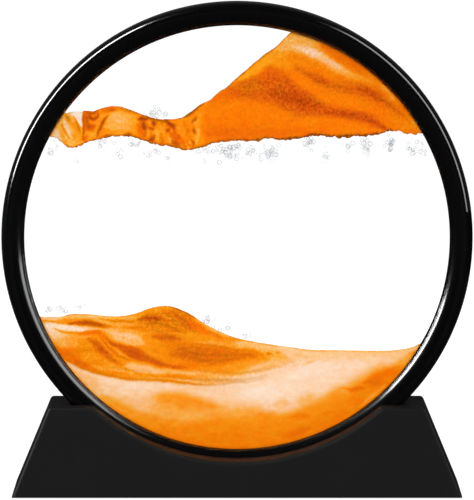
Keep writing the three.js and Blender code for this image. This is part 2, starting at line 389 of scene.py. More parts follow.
@dataclass(frozen=True)
class DyedSand(Finish):
    """Fine dyed sand whose tone, hue, speckle and dark traces come from the mesh."""

    red_stops: tuple[tuple[float, Colour], ...]
    gold_stops: tuple[tuple[float, Colour], ...]
    dark: Colour
    grain_mm: float = 0.42
    clump_grains: float = 2.7
    grain_stray: float = 0.5
    clump_stray: float = 1.6
    even_spread: float = 0.045
    speckle_spread: float = 0.34
    roughness: float = 0.82
    roughness_spread: float = 0.16
    specular: float = 0.02
    bump_strength: float = 0.25
    bump_mm: float = 0.2
    clump_bump: float = 0.5

    def surface(self, sheet: Sheet) -> Wire:
        """Build the shader.

        Args:
            sheet: The material's sheet.

        Returns:
            The shader's wire.
        """
        place = sheet.coordinates()
        tone, gold, speckle, trace = (
            sheet.add("ShaderNodeAttribute", {"attribute_name": name}, output="Fac")
            for name in SAND_ATTRIBUTES
        )
        cell = sheet.add(
            "ShaderNodeTexVoronoi",
            sockets={"Vector": place, "Scale": 1 / (self.grain_mm * MM)},
            output="Color",
        )
        chance = sheet.add("ShaderNodeSeparateColor", sockets={"Color": cell}, output="Red")
        clump = sheet.noise(place, self.clump_grains * self.grain_mm)
        stray = (chance - 0.5) * self.grain_stray + (clump - 0.5) * self.clump_stray
        shown = tone + stray * (speckle * self.speckle_spread + self.even_spread)
        red, yellow = (
            sheet.add("ShaderNodeValToRGB", {"stops": stops}, {"Fac": shown})
            for stops in (self.red_stops, self.gold_stops)
        )
        height = 1.0 - cell.output("Distance") + clump * self.clump_bump
        return sheet.add(
            "ShaderNodeBsdfPrincipled",
            sockets={
                "Base Color": sheet.blend(trace, sheet.blend(gold, red, yellow), self.dark),
                "Roughness": self.roughness + (chance - 0.5) * self.roughness_spread,
                "Specular IOR Level": self.specular,
                "Normal": sheet.bump(height, self.bump_strength, self.bump_mm),
            },
        )


@dataclass(frozen=True)
class TurnedSteel(Finish):
    """Plated screw steel with fine turning marks."""

    bright: Colour
    dull: Colour
    stain_mm: float = 2.0
    marks_mm: float = 0.12
    marks_depth_mm: float = 0.02
    marks_strength: float = 0.3
    roughness: float = 0.28
    spread: float = 0.2

    def surface(self, sheet: Sheet) -> Wire:
        """Build the shader.

        Args:
            sheet: The material's sheet.

        Returns:
            The shader's wire.
        """
        place = sheet.coordinates()
        stain = sheet.noise(place, self.stain_mm, detail=4.0)
        marks = sheet.noise(place, self.marks_mm, detail=1.0)
        return sheet.add(
            "ShaderNodeBsdfPrincipled",
            sockets={
                "Base Color": sheet.blend(stain, self.dull, self.bright),
                "Metallic": 1.0,
                "Roughness": self.roughness + stain * self.spread,
                "Normal": sheet.bump(marks, self.marks_strength, self.marks_depth_mm),
            },
        )


@dataclass(frozen=True)
class PaleFloor(Finish):
    """A white studio floor that reflections see as dark, with a dim glow behind the object."""

    glow: float = 0.92
    pale: float = 0.3
    dark: float = 0.03
    backdrop: float = 0.055
    backdrop_start: float = 0.0
    backdrop_full: float = 0.5

    def surface(self, sheet: Sheet) -> Wire:
        """Build the shader.

        Args:
            sheet: The material's sheet.

        Returns:
            The shader's wire.
        """
        seen, glossy = sheet.rays()
        depth = sheet.add("ShaderNodeSeparateXYZ", sockets={0: sheet.coordinates()}, output="Y")
        behind = sheet.rise(depth, self.backdrop_start, self.backdrop_full)
        colour = sheet.blend(glossy, (self.pale,) * 3 + (1.0,), (self.dark,) * 3 + (1.0,))
        matt = sheet.add("ShaderNodeBsdfDiffuse", sockets={"Color": colour})
        strength = seen * self.glow + glossy * behind * self.backdrop
        light = sheet.add("ShaderNodeEmission", sockets={"Color": WHITE, "Strength": strength})
        return sheet.add("ShaderNodeAddShader", sockets={0: matt, 1: light})


GLOSS_BLACK = MouldedBlack(
    "gloss_black_ring", linear(5, 5, 6), linear(8, 8, 9), 0.15, 0.05, 0.9, 0.004, 0.5
)
SATIN_BLACK = MouldedBlack(
    "satin_black_stand", linear(19, 19, 19), linear(25, 25, 25), 0.5, 0.12, 0.22, 0.03, 0.07
)
MATT_BLACK = MouldedBlack(
    "matt_black_inside", linear(14, 14, 14), linear(20, 20, 20), 0.6, 0.1, 0.3, 0.03, 0.3
)
SOFT_RUBBER = MouldedBlack(
    "soft_black_rubber", linear(18, 18, 18), linear(28, 28, 27), 0.8, 0.1, 0.35, 0.04, 0.3
)
SEALANT = MouldedBlack(
    "black_sealant", linear(20, 20, 20), linear(34, 34, 34), 0.45, 0.15, 1.2, 0.05, 0.4
)
GLASS = ClearPane("clear_glass_pane", WHITE, 0.5, 0.02)
LIQUID = ClearPane("clear_liquid_fill", WHITE, 0.06, 0.05)
# The bubbles' pale blue-grey rim colour is painted reflection at their edges
BUBBLE = AirBubble("air_bubble_painted_rim", linear(200, 213, 226), 0.42)
STEEL = TurnedSteel("plated_screw_steel", linear(196, 198, 202), linear(140, 142, 146))
FLOOR = PaleFloor("pale_studio_floor")
SAND = DyedSand(
    "dyed_orange_sand",
    (
        (0.0, linear(168, 56, 6)),
        (0.15, linear(207, 81, 10)),
        (0.3, linear(228, 99, 10)),
        (0.45, linear(246, 114, 3)),
        (0.55, linear(250, 130, 10)),
        (0.67, linear(250, 160, 60)),
        (0.8, linear(250, 192, 144)),
        (0.92, linear(251, 219, 196)),
        (1.0, linear(253, 233, 218)),
    ),
    (
        (0.0, linear(128, 72, 0)),
        (0.15, linear(182, 106, 6)),
        (0.3, linear(217, 125, 8)),
        (0.45, linear(240, 140, 6)),
        (0.55, linear(248, 158, 24)),
        (0.67, linear(246, 180, 74)),
        (0.8, linear(248, 200, 140)),
        (0.92, linear(251, 222, 190)),
        (1.0, linear(253, 235, 214)),
    ),
    linear(120, 52, 8),
)


def mesh_of(name: str, corners: np.ndarray, faces: Faces) -> bpy.types.Mesh:
    """Make a mesh whose faces point out.

    Args:
        name: The mesh's name.
        corners: Corners in millimetres, one row each.
        faces: Corner numbers of each face.

    Returns:
        The mesh, in metres.
    """
    mesh = bpy.data.meshes.new(name)
    mesh.from_pydata((np.asarray(corners) * MM).tolist(), [], faces)
    work = bmesh.new()
    work.from_mesh(mesh)
    bmesh.ops.recalc_face_normals(work, faces=work.faces)
    work.to_mesh(mesh)
    work.free()
    return mesh


def revolved(profile: Sequence[tuple[float, float]], segments: int, ring: bool) -> tuple[np.ndarray, Faces]:
    """Turn a profile of radius and Y about the disc's axis.

    Args:
        profile: Radius and Y of each point, in millimetres.
        segments: Steps round the axis.
        ring: Whether the profile closes on itself; if not, its ends get flat caps.

    Returns:
        Corners and faces.
    """
    turn = np.linspace(0, 2 * math.pi, segments, endpoint=False) + math.pi / 2
    radius, depth = np.array(profile, float).T
    x = np.outer(np.cos(turn), radius)
    y = np.broadcast_to(depth, x.shape)
    z = np.outer(np.sin(turn), radius) + DISC_HEIGHT
    corners = np.stack([x, y, z], -1).reshape(-1, 3)
    count = len(profile)
    faces: Faces = []
    for step in range(segments):
        here = step * count
        after = (step + 1) % segments * count
        for point in range(count if ring else count - 1):
            following = (point + 1) % count
            faces.append((here + point, here + following, after + following, after + point))
    if not ring:
        for end in (0, count - 1):
            faces.append(tuple(step * count + end for step in range(segments)))
    return corners, faces


def loose_object(name: str, data: bpy.types.ID) -> bpy.types.Object:
    """Put a mesh, lamp or camera in the scene.

    Args:
        name: The object's name.
        data: What it shows.

    Returns:
        The object.
    """
    made = bpy.data.objects.new(name, data)
    bpy.context.scene.collection.objects.link(made)
    return made


def aim_at(made: bpy.types.Object, place: Sequence[float], aim: Vector) -> None:
    """Put a lamp or camera at a place and turn it to face a point.

    Args:
        made: The lamp or camera.
        place: Where it goes, in metres.
        aim: The point that it faces, in metres.
    """
    made.location = place
    made.rotation_mode = "QUATERNION"
    made.rotation_quaternion = (aim - Vector(place)).to_track_quat("-Z", "Y")


def prism(name: str, lower: np.ndarray, upper: np.ndarray) -> bpy.types.Object:
    """Make a closed block between two loops.

    Args:
        name: The block's name.
        lower: Corners of the lower loop, in millimetres.
        upper: As many corners of the upper loop, in the same order.

    Returns:
        The block.
    """
    sides = len(lower)
    faces: Faces = [tuple(range(sides)), tuple(range(sides, 2 * sides))]
    faces += [(i, (i + 1) % sides, sides + (i + 1) % sides, sides + i) for i in range(sides)]
    return loose_object(name, mesh_of(name, np.vstack([lower, upper]), faces))


def rectangle(width: float, depth: float, z: float) -> np.ndarray:
    """Corners of a level rectangle about the Z axis."""
    return np.array([(x * width / 2, y * depth / 2, z) for x, y in ((-1, -1), (1, -1), (1, 1), (-1, 1))])


def post(x: float, y: float, bottom: float, top: float, radius: float, sides: int = 40) -> bpy.types.Object:
    """Make an upright round cutter.

    Args:
        x: Centre along X, in millimetres.
        y: Centre along Y.
        bottom: Lower end.
        top: Upper end.
        radius: Radius.
        sides: Sides round it.

    Returns:
        The cutter, which carve removes.
    """
    turn = np.linspace(0, 2 * math.pi, sides, endpoint=False)
    around = np.stack([x + radius * np.cos(turn), y + radius * np.sin(turn)], 1)
    return prism("cutter", *(np.column_stack([around, np.full(sides, z)]) for z in (bottom, top)))


def settle(piece: bpy.types.Object) -> None:
    """Apply a piece's modifiers to its mesh.

    Args:
        piece: The piece, which gets a new mesh.
    """
    graph = bpy.context.evaluated_depsgraph_get()
    mesh = bpy.data.meshes.new_from_object(piece.evaluated_get(graph), depsgraph=graph)
    piece.modifiers.clear()
    old = piece.data
    piece.data = mesh
    bpy.data.meshes.remove(old)


def carve(piece: bpy.types.Object, cutters: Iterable[bpy.types.Object]) -> None:
    """Cut solids out of a piece and remove them.

    Args:
        piece: The piece to cut.
        cutters: The solids.
    """
    for cutter in cutters:
        cut = piece.modifiers.new("cut", "BOOLEAN")
        cut.operation = "DIFFERENCE"
        cut.solver = "EXACT"
        cut.object = cutter
        settle(piece)
        mesh = cutter.data
        bpy.data.objects.remove(cutter)
        bpy.data.meshes.remove(mesh)


def smooth_shade(piece: bpy.types.Object, angle: float = 35.0) -> None:
    """Shade a piece smooth but for edges sharper than the angle in degrees."""
    piece.data.shade_smooth()
    piece.data.set_sharp_from_angle(angle=math.radians(angle))


def dress(
    piece: bpy.types.Object, finish: Finish, body: Body, replaced: Sequence[str] = ()
) -> bpy.types.Object:
    """Give a new piece its finish and body, and hide the CAD nodes that it replaces.

    Args:
        piece: The piece, in place.
        finish: Its finish.
        body: The body that it rides on.
        replaced: CAD nodes that it stands for.

    Returns:
        The piece.
    """
    piece.data.materials.clear()
    piece.data.materials.append(finish.material())
    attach(piece, body.value)
    if replaced:
        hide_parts(*replaced)
    return piece


def smooth_line(points: Points, steps: int = 12) -> np.ndarray:
    """Draw a smooth curve through points.

    Args:
        points: The points.
        steps: Steps from each point to the next.

    Returns:
        The curve's points, one row each.
    """
    given = np.array(points, float)
    if len(given) < 3:
        return given
    ends = np.vstack([2 * given[0] - given[1], given, 2 * given[-1] - given[-2]])
    t = np.linspace(0, 1, steps, endpoint=False)[:, None]
    runs = []
    for a, b, c, d in zip(ends, ends[1:], ends[2:], ends[3:]):
        linear_part = (c - a) * t
        square_part = (2 * a - 5 * b + 4 * c - d) * t ** 2
        cubic_part = (3 * b - a - 3 * c + d) * t ** 3
        runs.append(0.5 * (2 * b + linear_part + square_part + cubic_part))
    return np.vstack([*runs, given[-1:]])


def ease(low: float, high: float, value: np.ndarray) -> np.ndarray:
    """Rise smoothly from 0 at low to 1 at high."""
    share = np.clip((value - low) / (high - low), 0, 1)
    return share * share * (3 - 2 * share)


class Drift:
    """Smooth seeded noise over the plane, from about -1 to 1."""

    cells: int = 256
    octaves: tuple[tuple[float, ...], ...] = ((1, 0, 0, 0.57), (2, 31, 7, 0.29), (4, 5, 53, 0.14))

    def __init__(self, seed: int) -> None:
        """Draw the noise's lattice."""
        self.grid = np.random.default_rng(seed).uniform(-1, 1, (self.cells, self.cells))

    def at(self, x: np.ndarray, y: np.ndarray) -> np.ndarray:
        """Read the noise.

        Args:
            x: Places along the first axis, one lattice cell per unit.
            y: Places along the second axis.

        Returns:
            The noise at each place.
        """
        column = np.floor(x).astype(int)
        row = np.floor(y).astype(int)
        right = ease(0, 1, x - column)
        up = ease(0, 1, y - row)

        def corner(across: int, above: int) -> np.ndarray:
            """The lattice value at one corner of each cell."""
            return self.grid[(column + across) % self.cells, (row + above) % self.cells]

        low = corner(0, 0) * (1 - right) + corner(1, 0) * right
        high = corner(0, 1) * (1 - right) + corner(1, 1) * right
        return low * (1 - up) + high * up

    def rough(self, x: np.ndarray, y: np.ndarray) -> np.ndarray:
        """The noise with two finer octaves on it."""
        return sum(
            part * self.at(fine * x + across, fine * y + above)
            for fine, across, above, part in self.octaves
        )


@dataclass(frozen=True)
class Streak:
    """Sand of one tone drawn out along a line."""

    line: Points
    half: float
    tone: float
    gold: float = 0.5
    weight: float = 0.95
    speckle: float = 0.35
    crisp: float = 2.0
    taper: float = 0.35
    end_weight: float = 0.8


@dataclass(frozen=True)
class Trace(Streak):
    """A thin line of dark grains, whose tone is how far it darkens the sand under it."""

    weight: float = 1.0
    end_weight: float = 0.0


@dataclass(frozen=True)
class Patch:
    """Sand of one tone between an upper and a lower line."""

    upper: Points
    lower: Points
    tone: float
    gold: float = 0.5
    weight: float = 0.95
    speckle: float = 0.35
    soft: float = 0.8
    lamina: float = 0.04


@dataclass(frozen=True)
class Stratum:
    """A layer of sand under its crest, with tones by depth below the crest."""

    crest: Points
    tones: Points
    gold: float = 0.5
    lamina: float = 0.04
    ends: tuple[float, float] = (0.1, 0.1)
    edge: float = 0.35
    speckle: float = 0.35


Layer = Streak | Patch | Stratum


class SandTones:
    """Works out tone, gold, speckle and trace at points of the plane from layers of sand."""

    seed: int = 7
    wander: float = 0.4
    wander_size: float = 3.1
    wander_apart: float = 90
    fray: float = 0.12
    fray_size: float = 0.5
    fray_apart: float = 60
    lamina_length: float = 14.0
    lamina_depth: float = 0.9
    patch_close: float = 2.5
    streak_steps: int = 6
    streak_fall: float = 0.5
    narrowest: float = 0.5
    # Painted shade of the ring's lip: how far in it reaches and how strongly it darkens the sand
    lip_shade_reach: float = 0.9
    lip_shade_weight: float = 0.2
    tone_mottle: float = 0.045
    tone_mottle_size: tuple[float, float] = (2.4, 1.3)
    tone_mottle_start: tuple[float, float] = (17, 5)
    gold_mottle: float = 0.35
    gold_mottle_size: tuple[float, float] = (3.4, 2.2)
    gold_mottle_start: tuple[float, float] = (55, 71)

    def __init__(self, u: np.ndarray, w: np.ndarray, tone: float, gold: float) -> None:
        """Start with one kind of sand everywhere.

        Args:
            u: Places to the right, in millimetres.
            w: Places upwards.
            tone: The tone to start with, from dark to pale.
            gold: The hue to start with, from red to gold.
        """
        self.noise = Drift(self.seed)
        wide = self.wander_size
        fine = self.fray_size
        shift_u = self.wander * self.noise.rough(u / wide, w / wide)
        shift_w = self.wander * self.noise.rough(u / wide + self.wander_apart, w / wide)
        self.u = u + shift_u + self.fray * self.noise.at(u / fine, w / fine)
        self.w = w + shift_w + self.fray * self.noise.at(u / fine + self.fray_apart, w / fine)
        self.tone = np.full(u.shape, tone)
        self.gold = np.full(u.shape, gold)
        self.speckle = np.full(u.shape, Streak.speckle)
        self.trace = np.zeros(u.shape)

    def lay(self, layers: Iterable[Layer]) -> None:
        """Add layers in order, then mottle them a little.

        Args:
            layers: The layers, from the lowest to the topmost.
        """
        ways = {Streak: self.streak, Trace: self.streak, Patch: self.patch, Stratum: self.stratum}
        for layer in layers:
            mask, tone = ways[type(layer)](layer)
            if isinstance(layer, Trace):
                self.trace = np.maximum(self.trace, tone * mask)
                continue
            self.trace *= 1 - mask
            self.tone += (tone - self.tone) * mask
            self.gold += (layer.gold - self.gold) * mask
            self.speckle += (layer.speckle - self.speckle) * mask
        self.tone += self.tone_mottle * self.mottle(self.tone_mottle_size, self.tone_mottle_start)
        self.gold += self.gold_mottle * self.mottle(self.gold_mottle_size, self.gold_mottle_start)
        self.gold = np.clip(self.gold, 0, 1)

    def mottle(self, size: tuple[float, float], start: tuple[float, float]) -> np.ndarray:
        """Patchy noise with patches of the given width and height."""
        return self.noise.rough(self.u / size[0] + start[0], self.w / size[1] + start[1])

    def shade(self, beyond: np.ndarray) -> None:
        """Paint the shade of the ring's lip: darken and redden the sand next to the ring.

        Args:
            beyond: How far each place lies outside the ring's window, in millimetres.
        """
        mask = self.lip_shade_weight * ease(-self.lip_shade_reach, 0, beyond)
        self.tone *= 1 - mask
        self.gold *= 1 - mask

    def height(self, points: Points) -> np.ndarray:
        """The height of a line at every place, level beyond its ends."""
        line = smooth_line(points)
        return np.interp(self.u, line[:, 0], line[:, 1])

    def bands(self, depth: np.ndarray) -> np.ndarray:
        """Fine drawn-out bands that follow a layer."""
        return self.noise.rough(self.u / self.lamina_length, depth / self.lamina_depth)

    def stratum(self, layer: Stratum) -> tuple[np.ndarray, np.ndarray]:
        """Work out a stratum.

        Args:
            layer: The stratum.

        Returns:
            How far it covers each place, and its tone there.
        """
        depth = self.height(layer.crest) - self.w
        start = layer.crest[0][0]
        end = layer.crest[-1][0]
        cover = ease(start, start + layer.ends[0], self.u) * (1 - ease(end - layer.ends[1], end, self.u))
        depths, tones = np.array(layer.tones, float).T
        tone = np.interp(depth, depths, tones) + layer.lamina * self.bands(depth)
        return cover * ease(-layer.edge, layer.edge, depth), tone

    def patch(self, layer: Patch) -> tuple[np.ndarray, np.ndarray]:
        """Work out a patch.

        Args:
            layer: The patch.

        Returns:
            How far it covers each place, and its tone there.
        """
        depth = self.height(layer.upper) - self.w
        room = np.minimum(depth, self.w - self.height(layer.lower))
        start = max(layer.upper[0][0], layer.lower[0][0])
        end = min(layer.upper[-1][0], layer.lower[-1][0])
        close = self.patch_close * layer.soft
        cover = ease(start - close, start + close, self.u) * (1 - ease(end - close, end + close, self.u))
        cover = cover * ease(-layer.soft, layer.soft, room) * layer.weight
        return cover, layer.tone + layer.lamina * self.bands(depth)

    def streak(self, layer: Streak) -> tuple[np.ndarray, float]:
        """Work out a streak.

        Args:
            layer: The streak.

        Returns:
            How far it covers each place, and its tone.
        """
        line = smooth_line(layer.line, self.streak_steps)
        sizes = np.hypot(*np.diff(line, axis=0).T)
        starts = np.concatenate([[0.0], np.cumsum(sizes)])
        nearest = np.full(self.u.shape, np.inf)
        along = np.zeros(self.u.shape)
        for a, b, size, start in zip(line, line[1:], sizes, starts):
            du, dw = (b - a) / size
            travel = np.clip((self.u - a[0]) * du + (self.w - a[1]) * dw, 0, size)
            away = np.hypot(self.u - a[0] - travel * du, self.w - a[1] - travel * dw)
            closer = away < nearest
            nearest = np.where(closer, away, nearest)
            along = np.where(closer, (start + travel) / starts[-1], along)
        end = ease(0, layer.taper, np.minimum(along, 1 - along))
        half = layer.half * (self.narrowest + (1 - self.narrowest) * end)
        mask = np.exp(-self.streak_fall * (nearest / half) ** layer.crisp)
        return mask * layer.weight * (layer.end_weight + (1 - layer.end_weight) * end), layer.tone


LOWER_CREST: Points = (
    (-76, -31.0), (-70, -31.2), (-66.5, -30.9), (-64.5, -30.2), (-60, -30.0), (-55, -30.3), (-50, -30.8),
    (-45, -30.9), (-40, -30.1), (-37, -29.2), (-34, -28.0), (-30, -27.1), (-26.5, -26.9), (-24, -27.4),
    (-20, -29.0), (-17, -30.6), (-14, -32.7), (-10, -35.1), (-7, -36.6), (-3, -38.3), (0, -39.3),
    (5, -40.4), (10, -41.3), (15, -42.1), (20, -42.7), (25, -43.5), (30, -43.9), (40, -44.0),
    (50, -44.2), (57, -44.2), (62, -43.8), (66, -43.1), (69, -42.0), (73, -40.0),
)
UPPER_TOP: Points = (
    (-74, 47.2), (-66, 47.1), (-63, 47.6), (-60, 47.7), (-58, 47.9), (-55, 47.7), (-53, 48.5),
    (-50, 49.4), (-47, 49.7), (-44, 49.4), (-40, 48.1), (-36, 46.5), (-32, 45.2), (-29.5, 44.8),
    (-25, 44.8), (-22, 45.1), (-20, 46.0), (-17, 48.0), (-14, 50.4), (-12, 51.4), (-10, 52.3),
    (-7, 55.1), (-4, 57.0), (0, 60.6), (5, 64.9), (7.5, 67.1), (10, 69.1), (12, 70.5), (14, 71.7),
    (16, 73.5), (18, 75.6), (22, 79.4), (31.7, 88),
)
UPPER_UNDERSIDE: Points = (
    (-74, 38.6), (-70, 37.5), (-68, 36.6), (-66, 34.9), (-64, 33.9), (-62, 33.8), (-60, 34.6),
    (-56, 36.0), (-52, 37.3), (-48, 37.9), (-43, 38.1), (-40, 37.9), (-36, 36.6), (-33, 35.4),
    (-30, 34.8), (-26, 34.5), (-23, 33.6), (-20, 32.9), (-18, 32.8), (-15, 33.6), (-12, 34.5),
    (-10, 35.2), (-6, 36.0), (0, 36.5), (6, 36.3), (12, 37.2), (16, 36.7), (22, 37.1), (25, 37.4),
    (29, 38.3), (33, 38.2), (40, 37.6), (45, 38.2), (50, 38.3), (55, 39.0), (58, 40.3), (62, 39.9),
    (66, 39.1), (71, 39.1),
)
DRIFT_CREST: Points = (
    (-79, -41.2), (-70, -44.9), (-66, -47.7), (-62, -49.6), (-58, -51.2), (-54, -52.5), (-50, -53.5),
    (-46, -54.3), (-42, -55.0), (-38, -55.4), (-32, -55.6), (-26, -55.9), (-20, -56.7), (-14, -57.2),
    (-8, -57.1), (-2, -56.5), (4, -55.8), (10, -54.8), (16, -53.2), (24, -50.2), (32, -47.6),
    (44, -46.4), (58, -46.0), (75, -44.6),
)

DUNE_FOOT: Points = (
    (-30, -50.8), (-20, -51.5), (-10, -52.2), (0, -52.8), (6, -52.2), (9.6, -51.4), (14.5, -50.9),
    (19, -50.0), (24, -48.6), (30, -47.0), (36, -45.4),
)
SMOOTH = 0.0


def raised(points: Points, rise: float) -> Points:
    """The points moved up by a distance."""
    return tuple((u, w + rise) for u, w in points)


def edge_grains(places: Sequence[float], edge: Points) -> tuple[Trace, ...]:
    """Single dark grains just above an edge.

    Args:
        places: Where along the edge they lie.
        edge: Points of the edge, from left to right.

    Returns:
        One short trace for each grain.
    """
    reach = 0.4
    left_rise = 0.2
    right_rise = 0.35
    grains = []
    for u, w in zip(places, np.interp(places, *np.array(edge).T)):
        line = ((u - reach, w + left_rise), (u + reach, w + right_rise))
        grains.append(Trace(line, half=0.4, tone=0.85, taper=0.05))
    return tuple(grains)


